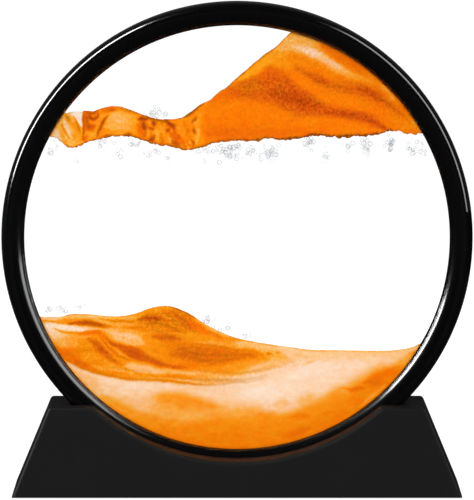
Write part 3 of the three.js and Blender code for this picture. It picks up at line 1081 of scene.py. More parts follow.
# Layers are laid in order, and a later one covers an earlier one
DUNE_LAYERS: tuple[Layer, ...] = (
    # Skyline ridge on the left
    Stratum(LOWER_CREST, ((0, 0.56), (0.6, 0.66), (1.2, 0.6), (2.5, 0.5), (5, 0.47), (9, 0.5)), 0.7, 0.06),
    Patch(((-58, -30.6), (-50, -31.0), (-42, -31.0), (-37, -30.6)),
          ((-58, -32.4), (-50, -34.6), (-42, -35.0), (-37, -34.6)), 0.67, 0.6, 0.85),
    Streak(((-52, -31.3), (-46, -31.7), (-40, -31.6), (-37, -31.0)), 0.55, 0.6, 1.0),
    Streak(((-53, -31.6), (-48, -32.5), (-44, -32.8), (-40, -32.8), (-35, -32.5)), 0.4, 0.3, 0.9),
    Streak(((-68, -32.3), (-64, -31.9), (-60, -31.7), (-56, -32.0)), 1.2, 0.48, 0.6),
    Streak(((-78, -31.6), (-71, -31.8), (-67, -31.6)), 0.55, 0.8),
    Streak(((-70, -31.7), (-64, -30.9), (-58, -30.8), (-50, -31.4)), 0.6, 0.77, 0.9, 0.8),
    Streak(((-52, -31.3), (-46, -31.5), (-40, -31.0)), 0.5, 0.72, 0.8, 0.7),
    # Pale hollow on the left
    Patch(((-78, -32.6), (-70, -33.4), (-62, -34.2), (-56, -34.8), (-51, -35.6)),
          ((-78, -44.0), (-72, -41.4), (-67, -39.6), (-61, -38.4), (-56, -36.9), (-51, -36.2)),
          0.87, 0.6, 1.0, 0.15, 1.3),
    Streak(((-74, -34.4), (-64, -35.6), (-59, -36.0)), 1.2, 0.92, 0.7, 0.9),
    Streak(((-76, -32.2), (-72, -32.7), (-67, -33.3), (-62, -33.6)), 0.32, 0.36, 0.6, 0.7),
    Streak(((-64, -33.6), (-60, -33.3), (-57, -33.3), (-54, -33.9), (-51, -34.7), (-48.5, -35.0)),
           0.85, 0.1, 0.4, 1.0, 0.4, 3.0),
    Streak(((-51, -34.8), (-47, -35.3), (-42, -35.4), (-37, -35.0), (-31, -35.2)), 0.4, 0.32, 0.8),
    # Pale hollow behind the fold
    Patch(((-51, -35.2), (-45, -35.8), (-41, -36.0), (-38, -36.6)),
          ((-51, -37.4), (-47, -40.2), (-43, -41.4), (-38, -42.6)), 0.7, 0.5, 0.85, 0.25, 1.8, 0.08),
    Streak(((-50, -36.6), (-45, -37.6), (-41, -38.6), (-37, -40.0)), 1.5, 0.8, 0.4, 0.8, 0.25),
    Streak(((-47, -36.4), (-41, -36.8), (-35, -37.8)), 0.35, 0.55, 0.7, 0.6),
    Streak(((-45, -39.6), (-40, -41.0), (-33, -42.6)), 0.9, 0.73, 0.5, 0.75),
    # Mound
    Patch(((-39, -29.6), (-34, -28.0), (-28, -27.0), (-22, -28.0), (-16, -31.0), (-10, -34.8)),
          ((-39, -34.5), (-30, -36.0), (-20, -37.4), (-10, -38.0)), 0.47, 0.85, 0.9, 1.0, 0.5, 0.2),
    Streak(((-40, -30.4), (-34, -28.6), (-30, -27.8), (-26, -27.5)), 0.6, 0.52, 1.0),
    Streak(((-26, -27.2), (-22, -28.3), (-18, -30.2), (-16, -31.4)), 0.35, 0.16, 0.6),
    Streak(((-37.5, -32.2), (-34, -31.6), (-30.5, -31.6), (-28, -32.0)), 1.0, 0.06, 0.2, 0.95, 0.9),
    Streak(((-29, -32.6), (-26, -32.6), (-23, -33.0)), 0.5, 0.26, 0.3, 0.9, 0.5),
    Streak(((-29, -29.6), (-26, -29.8), (-22.5, -30.4)), 0.5, 0.28, 0.3, 0.8, 0.4),
    Streak(((-23, -31.0), (-19.5, -33.4), (-16, -35.6)), 1.6, 0.25, 0.1, 0.85, 0.8),
    Streak(((-18, -33.4), (-14, -35.4), (-9.5, -37.6)), 1.2, 0.4, 0.0),
    Streak(((-33, -34.6), (-27, -34.8), (-21, -35.8)), 0.4, 0.3, 0.4, 0.7),
    Streak(((-30, -36.8), (-25, -37.0), (-21, -37.6)), 0.6, 0.62, 0.3, 0.7),
    Streak(((-29, -36.2), (-24, -36.4), (-20, -37.0)), 0.35, 0.3, 0.3, 0.8),
    Trace(((-30, -29.6), (-26, -30.8), (-23, -33.0), (-21.4, -35.4)), 0.34, 0.34, taper=0.4),
    Trace(((-27, -28.8), (-23, -30.2), (-20, -32.6), (-17, -35.0)), 0.34, 0.3, taper=0.4),
    Trace(((-26.4, -27.3), (-22, -28.4), (-18, -30.3), (-15.6, -31.6)), 0.36, 0.42),
    Trace(((-41, -33.6), (-36, -33.8), (-31.7, -33.6), (-27.3, -34.4), (-22.9, -36.3), (-19.5, -38.5)),
          0.36, 0.34),
    Trace(((-38, -36.3), (-31.7, -36.5), (-26.2, -37.6), (-20.8, -40.0), (-16, -41.7)), 0.36, 0.3),
    # Flank right of the mound
    Patch(((-34, -37.8), (-24, -37.6), (-14, -37.8), (-6, -39.0)),
          ((-34, -42.0), (-24, -41.0), (-14, -42.0), (-6, -43.0)), 0.5, 0.8, 0.8, 0.15, 1.0),
    Streak(((-12, -36.8), (-8, -38.0), (-3, -39.2), (3, -40.4)), 0.6, 0.38, 0.3),
    Streak(((-16, -31.9), (-10, -35.5), (-4, -38.2), (2, -40.1)), 0.7, 0.72, 0.8, 0.8),
    Streak(((-3, -38.9), (1, -39.9), (6, -40.8)), 0.4, 0.34, 1.0, 0.8),
    Streak(((-16, -40.8), (-10, -41.4), (0, -42.2), (6, -42.8)), 0.8, 0.65, 0.5, 0.85),
    Patch(((0, -39.9), (8, -41.0), (16, -41.8), (27, -43.0)),
          ((0, -43.0), (8, -44.2), (14, -48.5), (20, -49.4), (27, -48.0)), 0.74, 0.85, 0.9),
    # Bright orange between fold and dark hollow
    Patch(((-38, -42.5), (-33, -42.0), (-28, -41.0), (-22, -42.0)),
          ((-38, -46.0), (-33, -48.6), (-28, -50.0), (-22, -51.0)), 0.48, 0.6, 0.9, 0.15, 1.5),
    # Dark speckled hollow
    Streak(((-32, -38.8), (-27, -39.0), (-22, -39.8)), 1.0, 0.2, 0.3, 0.95, 0.8),
    Trace(((-31, -37.2), (-25, -38.2), (-19, -40.2)), 0.8, 0.16),
    Patch(((-25, -40.0), (-20, -40.9), (-14, -42.2), (-8, -43.2), (0, -43.8), (6, -44.4), (11, -45.6)),
          ((-25, -45.5), (-20, -47.6), (-14, -49.4), (-8, -49.8), (-2, -48.6), (4, -47.8), (11, -46.2)),
          0.34, 0.4, 0.9, 0.5, 2.4, 0.12),
    Streak(((-24.5, -45.6), (-20, -45.2), (-15, -46.0), (-11, -46.6)), 1.7, 0.18, 0.4, 0.8, 0.7),
    Streak(((-17, -42.6), (-10, -44.2), (-2, -45.4), (6, -46.0)), 1.0, 0.27, 0.3, 0.7, 0.6),
    Streak(((-16, -48.2), (-10, -49.2), (-5, -49.4)), 0.9, 0.29, 0.4, 0.6, 0.5),
    Streak(((-12, -46.8), (-5, -47.6), (2, -48.0)), 0.8, 0.36, 0.2, 0.6, 0.4),
    Trace(((-20.8, -40.7), (-12.6, -41.8), (-4.4, -42.9), (5, -44.4)), 0.36, 0.24),
    Trace(((-23, -44.4), (-15.3, -45.4), (-7, -45.9), (1, -45.4)), 0.36, 0.24),
    Trace(((-18, -47.2), (-9.8, -47.9), (-1.6, -47.3), (5, -46.7)), 0.36, 0.22),
    Streak(((11, -46.0), (14, -46.2), (18, -47.0)), 1.3, 0.6, 1.0, 0.85),
    Streak(((11, -45.2), (13, -45.4)), 0.4, 0.25, 0.9, 0.8),
    Streak(((14.6, -44.8), (16.4, -44.6)), 0.35, 0.3, 0.9, 0.7),
    Streak(((-32, -48.6), (-24, -49.4), (-15, -51.0), (-8, -51.6)), 1.1, 0.48, 0.3, 0.9),
    # Front dune
    Stratum(
        ((-71, -36.0), (-66, -37.2), (-61, -37.3), (-57, -36.7), (-54, -36.3), (-51.5, -37.4), (-49, -39.8),
         (-45.5, -42.0), (-41, -43.6), (-36, -46.0), (-31, -48.8), (-26, -50.2), (-18, -51.0), (-8, -52.0),
         (4, -52.4)),
        ((0, 0.44), (0.8, 0.52), (3, 0.5), (7, 0.47), (10, 0.5)), 0.65, 0.11, (15, 14)),
    Streak(((-76, -37.6), (-71, -39.4), (-66, -41.0), (-62, -41.4)), 1.6, 0.76, 0.4, 0.8, end_weight=0.4),
    Streak(((-71.5, -40.0), (-69, -42.6), (-66.5, -45.0)), 0.8, 0.58, 0.9, 0.8),
    Streak(((-71, -40.6), (-66.5, -40.6), (-62, -39.8), (-57.5, -39.6)),
           1.5, 0.64, 0.7, 0.8, end_weight=0.5),
    Streak(((-70, -35.6), (-67.5, -36.9), (-64, -37.3), (-60, -37.2), (-56.5, -36.5)), 0.35, 0.3, 0.9, 0.8),
    Streak(((-60, -37.6), (-55.5, -36.9), (-52.5, -37.9), (-50, -40.0)), 0.7, 0.4, 0.1),
    Streak(((-57, -39.8), (-54.5, -41.2), (-52, -43.4), (-49.5, -46.0), (-46.5, -48.6)),
           1.0, 0.18, 0.1, 0.95, 0.8),
    Streak(((-56, -38.2), (-52.5, -39.8), (-49.5, -42.8), (-46.5, -46.0)), 0.5, 0.56, 0.5, 0.85),
    Streak(((-53, -39.0), (-50, -41.6), (-47.5, -44.4), (-44.5, -46.6)), 0.35, 0.28, 0.1, 0.85),
    Streak(((-52, -38.0), (-49.2, -40.6), (-46.4, -43.4), (-43, -46.2), (-40.5, -47.6)),
           0.42, 0.6, 0.4, 0.9),
    Streak(((-51, -44.6), (-48.5, -47.0), (-45.5, -49.2), (-42.5, -49.8)), 0.35, 0.3, 0.3, 0.8),
    # Dark fold
    Patch(((-51, -38.4), (-48, -40.4), (-44.5, -41.6), (-41, -42.2), (-38, -43.4), (-34.5, -45.6),
           (-31, -47.6), (-26, -49.6), (-19, -50.4)),
          ((-51, -39.2), (-48, -42.0), (-44.5, -44.2), (-41, -46.6), (-38, -47.8), (-34.5, -48.6),
           (-31, -50.0), (-26, -50.8), (-19, -51.0)), 0.19, 0.05, 0.95, 0.45, 0.9, 0.08),
    Streak(((-48.5, -41.2), (-46, -42.2)), 0.6, 0.12, 0.1, 0.8),
    Streak(((-42, -44.0), (-40, -45.0), (-37.5, -46.2)), 1.0, 0.14, 0.1, 0.7),
    Streak(((-46, -46.0), (-43.5, -46.6), (-41.5, -47.8)), 0.3, 0.3, 0.2, 0.8),
    Streak(((-69, -43.4), (-65.5, -45.6), (-62, -47.6), (-58, -49.4)), 1.5, 0.38, 0.0),
    Streak(((-62, -48.2), (-58.5, -49.6), (-55, -51.0)), 0.6, 0.28, 0.2, 0.8),
    # Pale runs under the fold
    Patch(((-12, -50.6), (-6, -49.4), (-1, -48.4), (4, -47.4), (10, -46.6)),
          ((-12, -52.0), (-6, -52.4), (-1, -52.8), (4, -52.6), (10, -50.0)), 0.56, 0.65, 0.85, 0.15, 1.2),
    Patch(((-43, -49.2), (-40, -48.6), (-36, -49.6), (-30, -51.1), (-20, -51.9), (-10, -52.7)),
          ((-43, -50.6), (-40, -52.0), (-36, -53.0), (-30, -53.4), (-20, -53.4), (-10, -54.8)),
          0.73, 0.5, 0.95, 0.15, 0.6),
    Streak(((-39, -49.8), (-36, -50.6), (-31, -51.8)), 0.8, 0.78, 0.4, 0.7),
    Streak(((-54, -50.6), (-47, -51.8), (-40, -52.8)), 0.9, 0.66, 0.7, 0.7),
    Streak(((-60, -49.6), (-54, -51.6), (-47, -52.6), (-42, -53.2)), 0.5, 0.42, 0.4, 0.8),
    Patch(((2, -51.6), (6, -50.2), (10, -48.4), (14, -47.4), (18, -48.4), (24, -47.8)),
          ((2, -53.0), (9, -52.0), (13, -51.0), (18, -49.8), (24, -48.6)), 0.77, 0.5, 0.9, 0.15, 1.6),
    Patch(((-16, -53.0), (-6, -53.6), (2, -53.2), (10, -51.8), (18, -49.4), (26, -46.8)),
          ((-16, -57.0), (-6, -57.4), (2, -56.8), (10, -55.6), (18, -53.2), (26, -50.0)), 0.84, 0.5, 0.9),
    Streak(((-33.5, -54.0), (-27, -54.2), (-20, -54.4), (-13, -55.0)), 0.75, 0.44, 0.6, end_weight=0.2),
    Streak(((-38, -54.2), (-35, -54.1), (-32, -54.0)), 0.7, 0.5, 1.0, 0.9),
    Streak(((-38, -55.0), (-32, -55.1), (-24, -55.6), (-14, -56.4), (-6, -56.4)), 0.5, 0.74, 0.4, 0.9),
    Streak(((-20, -54.4), (-12, -55.2), (-5, -55.5), (3, -54.8)), 1.7, 0.67, 0.4, 0.85, end_weight=0.15),
    Streak(((-18, -53.4), (-13, -54.2), (-8, -54.8)), 1.0, 0.56, 0.4, 0.7, end_weight=0.2),
    Trace(((-52, -49.8), (-46, -51.0), (-40, -51.9), (-34, -52.6)), 0.32, 0.14),
    Trace(DUNE_FOOT, 0.36, 0.14, taper=0.5),
    Trace(((-34, -54.0), (-27, -54.3), (-20, -54.9), (-10, -55.4), (0, -55.5), (5, -54.9), (9.6, -54.0),
           (15, -52.8), (19, -51.8), (26, -49.8)), 0.4, 0.24, taper=0.4),
)
DRIFT_LAYERS: tuple[Layer, ...] = (
    # Pale drift and the thin lines over it
    Stratum(DRIFT_CREST,
            ((0, 0.76), (1.2, 0.84), (3.5, 0.84), (6.5, 0.83), (9.5, 0.75), (12, 0.63), (15, 0.54),
             (19, 0.49)),
            0.45, 0.02),
    Streak(DRIFT_CREST[1:15], 0.42, 0.36, 0.6, 0.75, taper=0.3, end_weight=0.1),
    Trace(DRIFT_CREST[1:13], 0.42, 0.22, taper=0.2),
    Trace(DRIFT_CREST[9:20], 0.4, 0.2, taper=0.3),
    Trace(DUNE_FOOT, 0.36, 0.07, taper=0.5),
    Trace(((-6, -58.6), (0, -58.9), (5, -58.4), (9.6, -57.3), (14.6, -55.8), (21, -55), (27, -53.6)),
          0.36, 0.1),
    Trace(((16, -49.8), (24, -47.6), (32, -45.6)), 0.3, 0.1),
    Streak(((0, -59.4), (5, -59.0), (8, -58.5), (12, -57.2), (17, -56.0)), 0.3, 0.74, 0.6, 0.7),
    Streak(raised(LOWER_CREST[3:24], -0.15), 0.32, 0.4, 1.0, 0.45),
    # Pale rise on the right
    Patch(((16, -41.6), (22, -42.4), (30, -43.2), (44, -43.4), (58, -43.4), (72, -39.6)),
          ((16, -44.0), (22, -48.2), (30, -48.0), (44, -48.0), (58, -47.4), (72, -43.0)), 0.81, 0.75, 0.92),
    Streak(raised(LOWER_CREST[22:], -0.1), 0.3, 0.4, 1.0, 0.45),
    Patch(((6, -56.0), (12, -53.0), (20, -50.4), (28, -48.4), (36, -48.0), (44, -48.4), (50, -49.0)),
          ((6, -65.0), (12, -67.4), (20, -67.4), (28, -64.4), (36, -59.4), (44, -53.8), (50, -50.4)),
          0.88, 0.4, 0.95, 0.15, 3.0, 0.02),
    Streak(((-2, -60.6), (5, -60.2), (14, -59.6), (22, -58.0)), 2.4, 0.93, 0.5, 0.9, end_weight=0.2),
    Streak(((20, -54.0), (28, -52.0), (36, -51.4)), 2.2, 0.93, 0.4, 0.7),
    Streak(((-50, -56.2), (-42, -57.4), (-34, -57.8), (-24, -58.4)), 1.3, 0.88, 0.4, 0.8),
    Streak(((-22, -58.8), (-17, -59.2), (-12, -59.0)), 0.8, 0.8, 0.1, 0.7),
    # Orange below, and deep orange towards the ring
    Stratum(
        ((-56, -66.0), (-46, -69.4), (-36, -72.0), (-25, -73.0), (-15, -71.8), (-6, -70.6), (2, -71.6),
         (12, -73.2), (20, -72.4), (28, -69.0), (36, -64.8), (42, -60.4), (48, -55.4), (55, -51.4),
         (61, -49.6), (72, -44.0)),
        ((-6, 0.69), (-3, 0.62), (0, 0.54), (3, 0.49), (8, 0.465), (16, 0.455)),
        0.47, 0.02, edge=6.0),
    Streak(((45, -57.2), (51, -55.6), (58, -53.6), (63, -50.4)),
           2.4, 0.39, 0.05, taper=0.6, end_weight=0.15),
    Streak(((55, -53.6), (59.5, -51.6), (63, -49.4)), 1.2, 0.42, 0.1, 0.85),
    Streak(((49, -56.6), (52.5, -56.2), (55, -57.0)), 1.1, 0.32, 0.2, 0.7),
    Streak(((43.5, -59.6), (46.5, -59.0), (49, -58.4)), 0.7, 0.34, 0.3, 0.7),
    Streak(((61.5, -49.6), (64, -48.2), (66, -46.0)), 0.8, 0.58, 1.0, 0.85),
    Streak(((40, -58.8), (44, -58.9), (48, -58.6)), 0.35, 0.2, 0.3, 0.4),
    Streak(((47, -65.6), (52, -61.6), (57, -57.6)), 0.6, 0.66, 0.3, 0.8),
    Streak(((13, -65.4), (17, -64.6), (21, -64.6)), 1.2, 0.64, 0.6, 0.55, end_weight=0.2),
    Streak(((21, -64.2), (24, -63.6), (27, -62.6), (31.5, -60.4)), 1.2, 0.6, 0.8, 0.6, end_weight=0.3),
    Streak(((21, -69.6), (25, -69.2), (28, -69.6)), 0.7, 0.4, 0.3, 0.6),
    Streak(((33, -68.4), (36, -68.0)), 0.7, 0.4, 0.3, 0.6),
    Streak(((18, -77.4), (23, -76.0), (28, -74.0)), 1.2, 0.38, 0.0, 0.85),
    # Orange in the drift
    Patch(((-33, -60.8), (-27, -60.0), (-20, -60.6), (-12, -63.2), (-6, -65.0)),
          ((-33, -63.4), (-27, -65.8), (-20, -67.6), (-12, -68.0), (-6, -67.0)), 0.54, 0.5, 0.9, 0.15, 2.2),
    Streak(((-36, -66.0), (-28, -68.0), (-18, -69.2), (-10, -67.4)), 1.6, 0.68, 0.4, 0.9),
    Streak(((-46, -61.5), (-40, -64.5), (-34, -67.0)), 2.0, 0.76, 0.4, 0.7),
    Streak(((-52, -61.6), (-47, -64.4), (-42, -67.6), (-36, -70.6)), 1.4, 0.54, 0.7, 0.85),
    Streak(((-62, -52.4), (-57, -56.0), (-52, -59.6)), 1.6, 0.7, 0.4, 0.8),
)
LOWER_LAYERS = (*DUNE_LAYERS, *(replace(layer, speckle=SMOOTH) for layer in DRIFT_LAYERS))

EDGE_GRAINS = (
    7.7, 11.0, 13.4, 17.3, 20.0, 22.6, 25.8, 27.3, 28.8, 29.9, 31.8, 33.7, 35.2, 37.0, 39.7, 41.9, 43.5,
    46.3, 49.0, 51.2, 53.4, 55.6, 57.5, 58.8,
)
UPPER_LAYERS: tuple[Layer, ...] = (
    # Striped left end of the ribbon
    Patch(((-78, 56), (-58.8, 56)), ((-78, 28), (-58.8, 28)), 0.67, 0.8, 1.0, 0.1, 0.25),
    Streak(((-69.6, 40.2), (-68.4, 38.6), (-67.2, 37.2)), 1.0, 0.86),
    Streak(((-67.8, 41.4), (-66, 37.6), (-64.6, 34.8)), 0.7, 0.6, 0.7),
    Streak(((-67, 42.8), (-65.4, 40.0), (-64.1, 37.6)), 0.38, 0.2, 1.0),
    Streak(((-66, 43.6), (-64.4, 40.0), (-63.4, 37.6)), 0.7, 0.88, 0.7),
    Streak(((-66.4, 45), (-64.8, 42.4), (-63.4, 39.6)), 0.45, 0.8, 0.8),
    Streak(((-65.3, 46.2), (-63.6, 43.8)), 0.42, 0.2, 1.0),
    Streak(((-64, 44.4), (-62, 41.9), (-60.6, 39.4), (-60, 37)), 0.95, 0.5, 1.0),
    Streak(((-62.8, 40), (-62, 37), (-61.4, 35)), 0.9, 0.55, 1.0),
    Streak(((-63.8, 36.6), (-63, 35)), 0.8, 0.66, 1.0),
    Streak(((-61.6, 45), (-60.6, 42), (-60.1, 39.8)), 0.38, 0.3, 1.0),
    Patch(((-63.4, 56), (-59.1, 56)),
          ((-63.4, 46.0), (-62, 45.6), (-61, 44.5), (-60.2, 42.8), (-59.1, 41.4)),
          0.95, 0.3, 1.0, 0.1, 0.25),
    Streak(((-58.6, 47.4), (-58.5, 44.1), (-58.5, 41.7), (-58.8, 39)), 0.42, 0.1, 0.4, 1.0),
    # Red marks and amber middle of the ribbon
    Patch(((-58.4, 56), (-17, 56)), ((-58.4, 28), (-17, 28)), 0.52, 0.45, 1.0, 0.15, 0.2),
    Patch(((-58.2, 56), (-52.6, 56)), ((-58.2, 40.8), (-56, 40.6), (-54, 41.6), (-52.6, 44)),
          0.41, 0.0, 0.95, 0.2, 0.3),
    Streak(((-56.3, 46.9), (-55.9, 45.4), (-54.6, 44.8), (-53.2, 45.4), (-52.8, 46.9)),
           0.5, 0.05, 0.1, 1.0),
    Streak(((-54.9, 46.4), (-54, 46.2)), 0.6, 0.52, 0.0),
    Streak(((-57.5, 46.2), (-57.2, 45), (-57.3, 43.6)), 0.6, 0.14, 0.1),
    Streak(((-56.9, 44.4), (-54.9, 43.2), (-53.4, 43.9), (-51.8, 46.2)), 0.5, 0.6, 0.3),
    Streak(((-57.6, 42.6), (-56, 41.6), (-54.4, 42.3)), 0.9, 0.18, 0.0),
    Streak(((-57.6, 39), (-55, 38.6), (-53.4, 38.2)), 1.2, 0.55, 0.8),
    Streak(((-58.8, 38.2), (-58, 36.6)), 0.9, 0.24, 0.1),
    Streak(((-51.2, 45.2), (-52.4, 42.2), (-53.9, 39.4)), 0.7, 0.57, 0.8),
    Patch(((-50.5, 46.8), (-47, 47.8), (-43, 47.4), (-39.6, 46)),
          ((-50.5, 41), (-47, 40.4), (-43, 40.4), (-39.6, 40.4)),
          0.66, 0.6, 0.95, 0.15, 0.8),
    Streak(((-46.6, 44.6), (-44, 44.2)), 1.6, 0.7, 0.4, 0.7),
    Streak(((-50, 39.8), (-46, 39.2), (-41, 39.0)), 0.9, 0.52, 1.0),
    Streak(((-39.4, 46.4), (-39, 43), (-38.8, 39.2)), 1.0, 0.53, 1.0),
    Streak(((-49.2, 46.4), (-50.5, 44.6), (-51.5, 42.4), (-52.7, 40), (-53.6, 38.2)), 0.48, 0.14, 0.4, 1.0),
    Streak(((-51, 48), (-48.6, 48.8), (-46, 48.5)), 1.0, 0.36, 0.0),
    Streak(((-49, 48.6), (-46.6, 48.4)), 0.5, 0.22, 0.0),
    Streak(((-51, 38.1), (-47.4, 38.6)), 0.38, 0.1, 0.4, 0.8, 0.8),
    Streak(((-43.4, 38.8), (-40.4, 39)), 0.5, 0.04, 0.2, 0.9, 0.6),
    # Dark squiggles in the ribbon
    Patch(((-38, 56), (-31, 56)), ((-38, 28), (-31, 28)), 0.43, 0.15, 0.6, 0.3, 0.5),
    Streak(((-26.2, 42.6), (-24.4, 40.0), (-23.0, 36.6)), 2.0, 0.42, 0.1, 0.7, 0.3),
    Streak(((-37.6, 42.6), (-36.4, 40.4), (-35.8, 38.4)), 0.9, 0.38, 0.0),
    Streak(((-37.4, 44.7), (-36.4, 44.9), (-35.2, 44.5), (-34.2, 44.9)), 0.6, 0.0, 0.0, 1.0),
    Streak(((-36.8, 44.0), (-36.2, 43.4)), 0.5, 0.26, 0.0, 0.8),
    Streak(((-35.6, 43.4), (-35.5, 42.0), (-35.1, 40.6)), 0.62, 0.06, 0.1, 1.0),
    Streak(((-34.9, 39.8), (-35.3, 38.2)), 0.5, 0.22, 0.1, 0.8),
    Streak(((-34.0, 43.6), (-33.0, 43.0), (-32.8, 42.0)), 0.5, 0.62, 0.0),
    Streak(((-32.0, 43.6), (-31.7, 42.2)), 0.7, 0.03, 0.1, 1.0),
    Streak(((-34.0, 41.4), (-32.8, 40.9), (-31.8, 41.1)), 0.45, 0.12, 0.3),
    Streak(((-34.3, 40.2), (-33.9, 38.2)), 0.45, 0.6, 0.9),
    Streak(((-32.4, 40.0), (-31.6, 39.2)), 0.45, 0.63, 0.1),
    Streak(((-32.8, 38.8), (-33.2, 37.8)), 0.42, 0.3, 0.2, 0.8),
    Streak(((-31.5, 38.6), (-32.2, 37.3), (-33.8, 36.4)), 0.62, 0.07, 0.2),
    Streak(((-35.4, 36.9), (-33.0, 36.1)), 0.4, 0.12, 0.8),
    Streak(((-30.6, 41.6), (-30.6, 39.0), (-30.4, 36.0)), 0.75, 0.57, 0.9),
    Streak(((-29.4, 43.2), (-27.6, 43.6)), 0.6, 0.28, 0.7, 0.8),
    Streak(((-29.6, 42.2), (-28.2, 40.6), (-27.6, 38.6)), 0.5, 0.57, 0.5),
    Streak(((-28.9, 39.4), (-28.8, 37.4), (-28.6, 35.2)), 0.45, 0.26, 0.8, 0.85),
    Streak(((-27.0, 43.8), (-25.2, 43.0), (-23.8, 41.6)), 0.85, 0.06, 0.05, 1.0, 0.3),
    Streak(((-26.6, 40.9), (-26.0, 40.3)), 0.65, 0.05, 0.1),
    Streak(((-25.4, 41.1), (-24.9, 40.3)), 0.45, 0.58, 0.0),
    Streak(((-24.3, 41.2), (-23.7, 40.2), (-24.4, 39.3), (-25.4, 39.5)), 0.45, 0.15, 0.0),
    Streak(((-26.5, 38.8), (-25.9, 37.0), (-25.2, 35.2)), 0.55, 0.64, 0.4),
    Streak(((-24.8, 38.4), (-23.4, 37.4), (-22.2, 35.8)), 1.0, 0.27, 0.0, 0.9),
    Streak(((-23.0, 38.9), (-21.8, 37.5)), 0.5, 0.1, 0.0, 0.8),
    Streak(((-24.8, 36.6), (-23.4, 35.4), (-22.2, 34.4)), 0.6, 0.1, 0.2, 0.9),
    Streak(((-22.8, 41.6), (-21.8, 39.8)), 0.8, 0.58, 0.1, 0.9),
    Streak(((-21.4, 37.6), (-20.6, 36.2), (-19.4, 34.4)), 0.7, 0.34, 0.0),
    Streak(((-26, 44.2), (-22.6, 43.6)), 0.4, 0.56, 0.2),
    Trace(((-56.4, 47.2), (-55.9, 45.4), (-54.6, 44.8), (-53.2, 45.4), (-52.7, 47.2)), 0.42, 0.34),
    Trace(((-57.8, 46.6), (-57.2, 44.4), (-56.4, 42.5), (-54.2, 42.2)), 0.5, 0.34),
    Trace(((-49, 46.8), (-50.5, 44.6), (-51.5, 42.4), (-52.7, 40), (-53.8, 37.8)), 0.4, 0.3, taper=0.2),
    Trace(((-58.6, 48.0), (-58.5, 44.1), (-58.5, 41.7), (-58.8, 38)), 0.38, 0.36, taper=0.2),
    Trace(((-37.6, 44.6), (-36.4, 44.9), (-34.8, 44.5)), 0.5, 0.26, taper=0.2),
    Trace(((-35.8, 43.8), (-35.5, 42.0), (-35.0, 40.0)), 0.5, 0.42, taper=0.2),
    Trace(((-32.2, 44.2), (-31.6, 41.8)), 0.5, 0.44, taper=0.2),
    Trace(((-34.2, 41.4), (-32.8, 40.9), (-31.6, 41.2)), 0.4, 0.22, taper=0.2),
    Trace(((-31.2, 39.2), (-32.2, 37.3), (-34.4, 36.2)), 0.5, 0.38, taper=0.2),
    Trace(((-27.4, 44.2), (-25.2, 43.0), (-23.5, 41.2)), 0.6, 0.36, taper=0.2),
    Trace(((-26.9, 41.1), (-25.9, 40.2)), 0.5, 0.3, taper=0.2),
    Trace(((-25.2, 36.8), (-23.4, 35.4), (-21.8, 34.2)), 0.45, 0.26, taper=0.2),
    # Neck between ribbon and peak
    Patch(((-20, 56), (-12, 56)), ((-20, 28), (-12, 28)), 0.52, 0.5, 0.9, 0.15, 0.8),
    Streak(((-20.4, 43.6), (-19.0, 42.4)), 0.9, 0.4, 0.0, 0.8),
    Streak(((-19.6, 41.0), (-18.2, 39.4)), 0.55, 0.42, 0.1, 0.8),
    Streak(((-18.4, 38.4), (-17.4, 37.2)), 0.55, 0.42, 0.0, 0.8),
    Streak(((-20.6, 35.8), (-18.8, 35.0), (-17.4, 35.0)), 0.9, 0.34, 0.0, 0.85),
    Streak(((-19.7, 35.6), (-19.2, 35.0)), 0.45, 0.64, 0.1),
    Streak(((-18.1, 36.0), (-17.7, 35.2)), 0.45, 0.64, 0.1),
    Streak(((-15.2, 42.2), (-14.9, 39.4), (-15.7, 36.0)), 0.8, 0.62, 0.8),
    Streak(((-16.4, 42.4), (-14.4, 44.6)), 0.45, 0.64, 0.8),
    Streak(((-15.8, 45.2), (-13.6, 46.6)), 0.45, 0.62, 0.8),
    Streak(((-17.2, 43.4), (-16.1, 44.6), (-15.2, 45.7)), 0.42, 0.2, 0.6),
    Streak(((-16.9, 41.2), (-16.5, 40.2), (-16.2, 39.2)), 0.42, 0.18),
    Streak(((-19.6, 38.6), (-18.4, 41)), 0.38, 0.3, 0.3),
    Streak(((-17.4, 36.8), (-16.8, 35.8), (-16.8, 34.8)), 0.42, 0.15, 0.2),
    Streak(((-18.9, 33.6), (-18.3, 33.6)), 0.7, 0.92, 0.2),
    Streak(((-13.6, 45.0), (-12.9, 42.0), (-13.6, 37.0)), 0.6, 0.46, 0.7, 0.8),
    Trace(((-17.6, 42.8), (-16.1, 44.6), (-14.8, 46.4)), 0.4, 0.3),
    Trace(((-17.1, 41.8), (-16.5, 40.2), (-16.0, 38.6)), 0.4, 0.3),
    Trace(((-17.6, 37.0), (-16.8, 35.8), (-16.8, 34.2)), 0.4, 0.24),
    Streak(((-11.4, 46), (-10.8, 41), (-11.4, 37)), 1.2, 0.42, 0.0, 0.8),
    # Body of the peak
    Streak(((-12, 40.0), (-4, 39.4), (6, 39.4), (16, 39.6), (26, 40.4)), 2.0, 0.36, 0.0, 0.85, 0.3),
    Streak(((-11, 39.4), (-6, 39.8), (-1, 40.4)), 1.5, 0.33, 0.0, 0.7, 0.4),
    Streak(((-9, 51.0), (-4, 54.0), (2, 56.8)), 2.2, 0.34, 0.05, 0.75, 0.7),
    Patch(((-2, 58.8), (2, 62.4), (10, 69.6), (18, 76.0)),
          ((-2, 57.4), (2, 59.2), (9, 62.8), (15, 64.2), (19, 65.4)), 0.56, 1.0, 0.95, 0.15, 1.4),
    Streak(((2, 60.8), (10, 67.6), (17, 73.4)), 1.2, 0.56, 1.0, 0.7),
    Streak(((15, 74.0), (20, 75.6), (25, 75.4), (31, 73.2)), 1.8, 0.67, 0.9, 0.9),
    Patch(((10, 66.0), (16, 70.5), (22, 70.0), (28, 67.0)),
          ((10, 63.4), (16, 64.6), (22, 62.6), (28, 60.0)), 0.53, 0.9, 0.7, 0.3, 1.5),
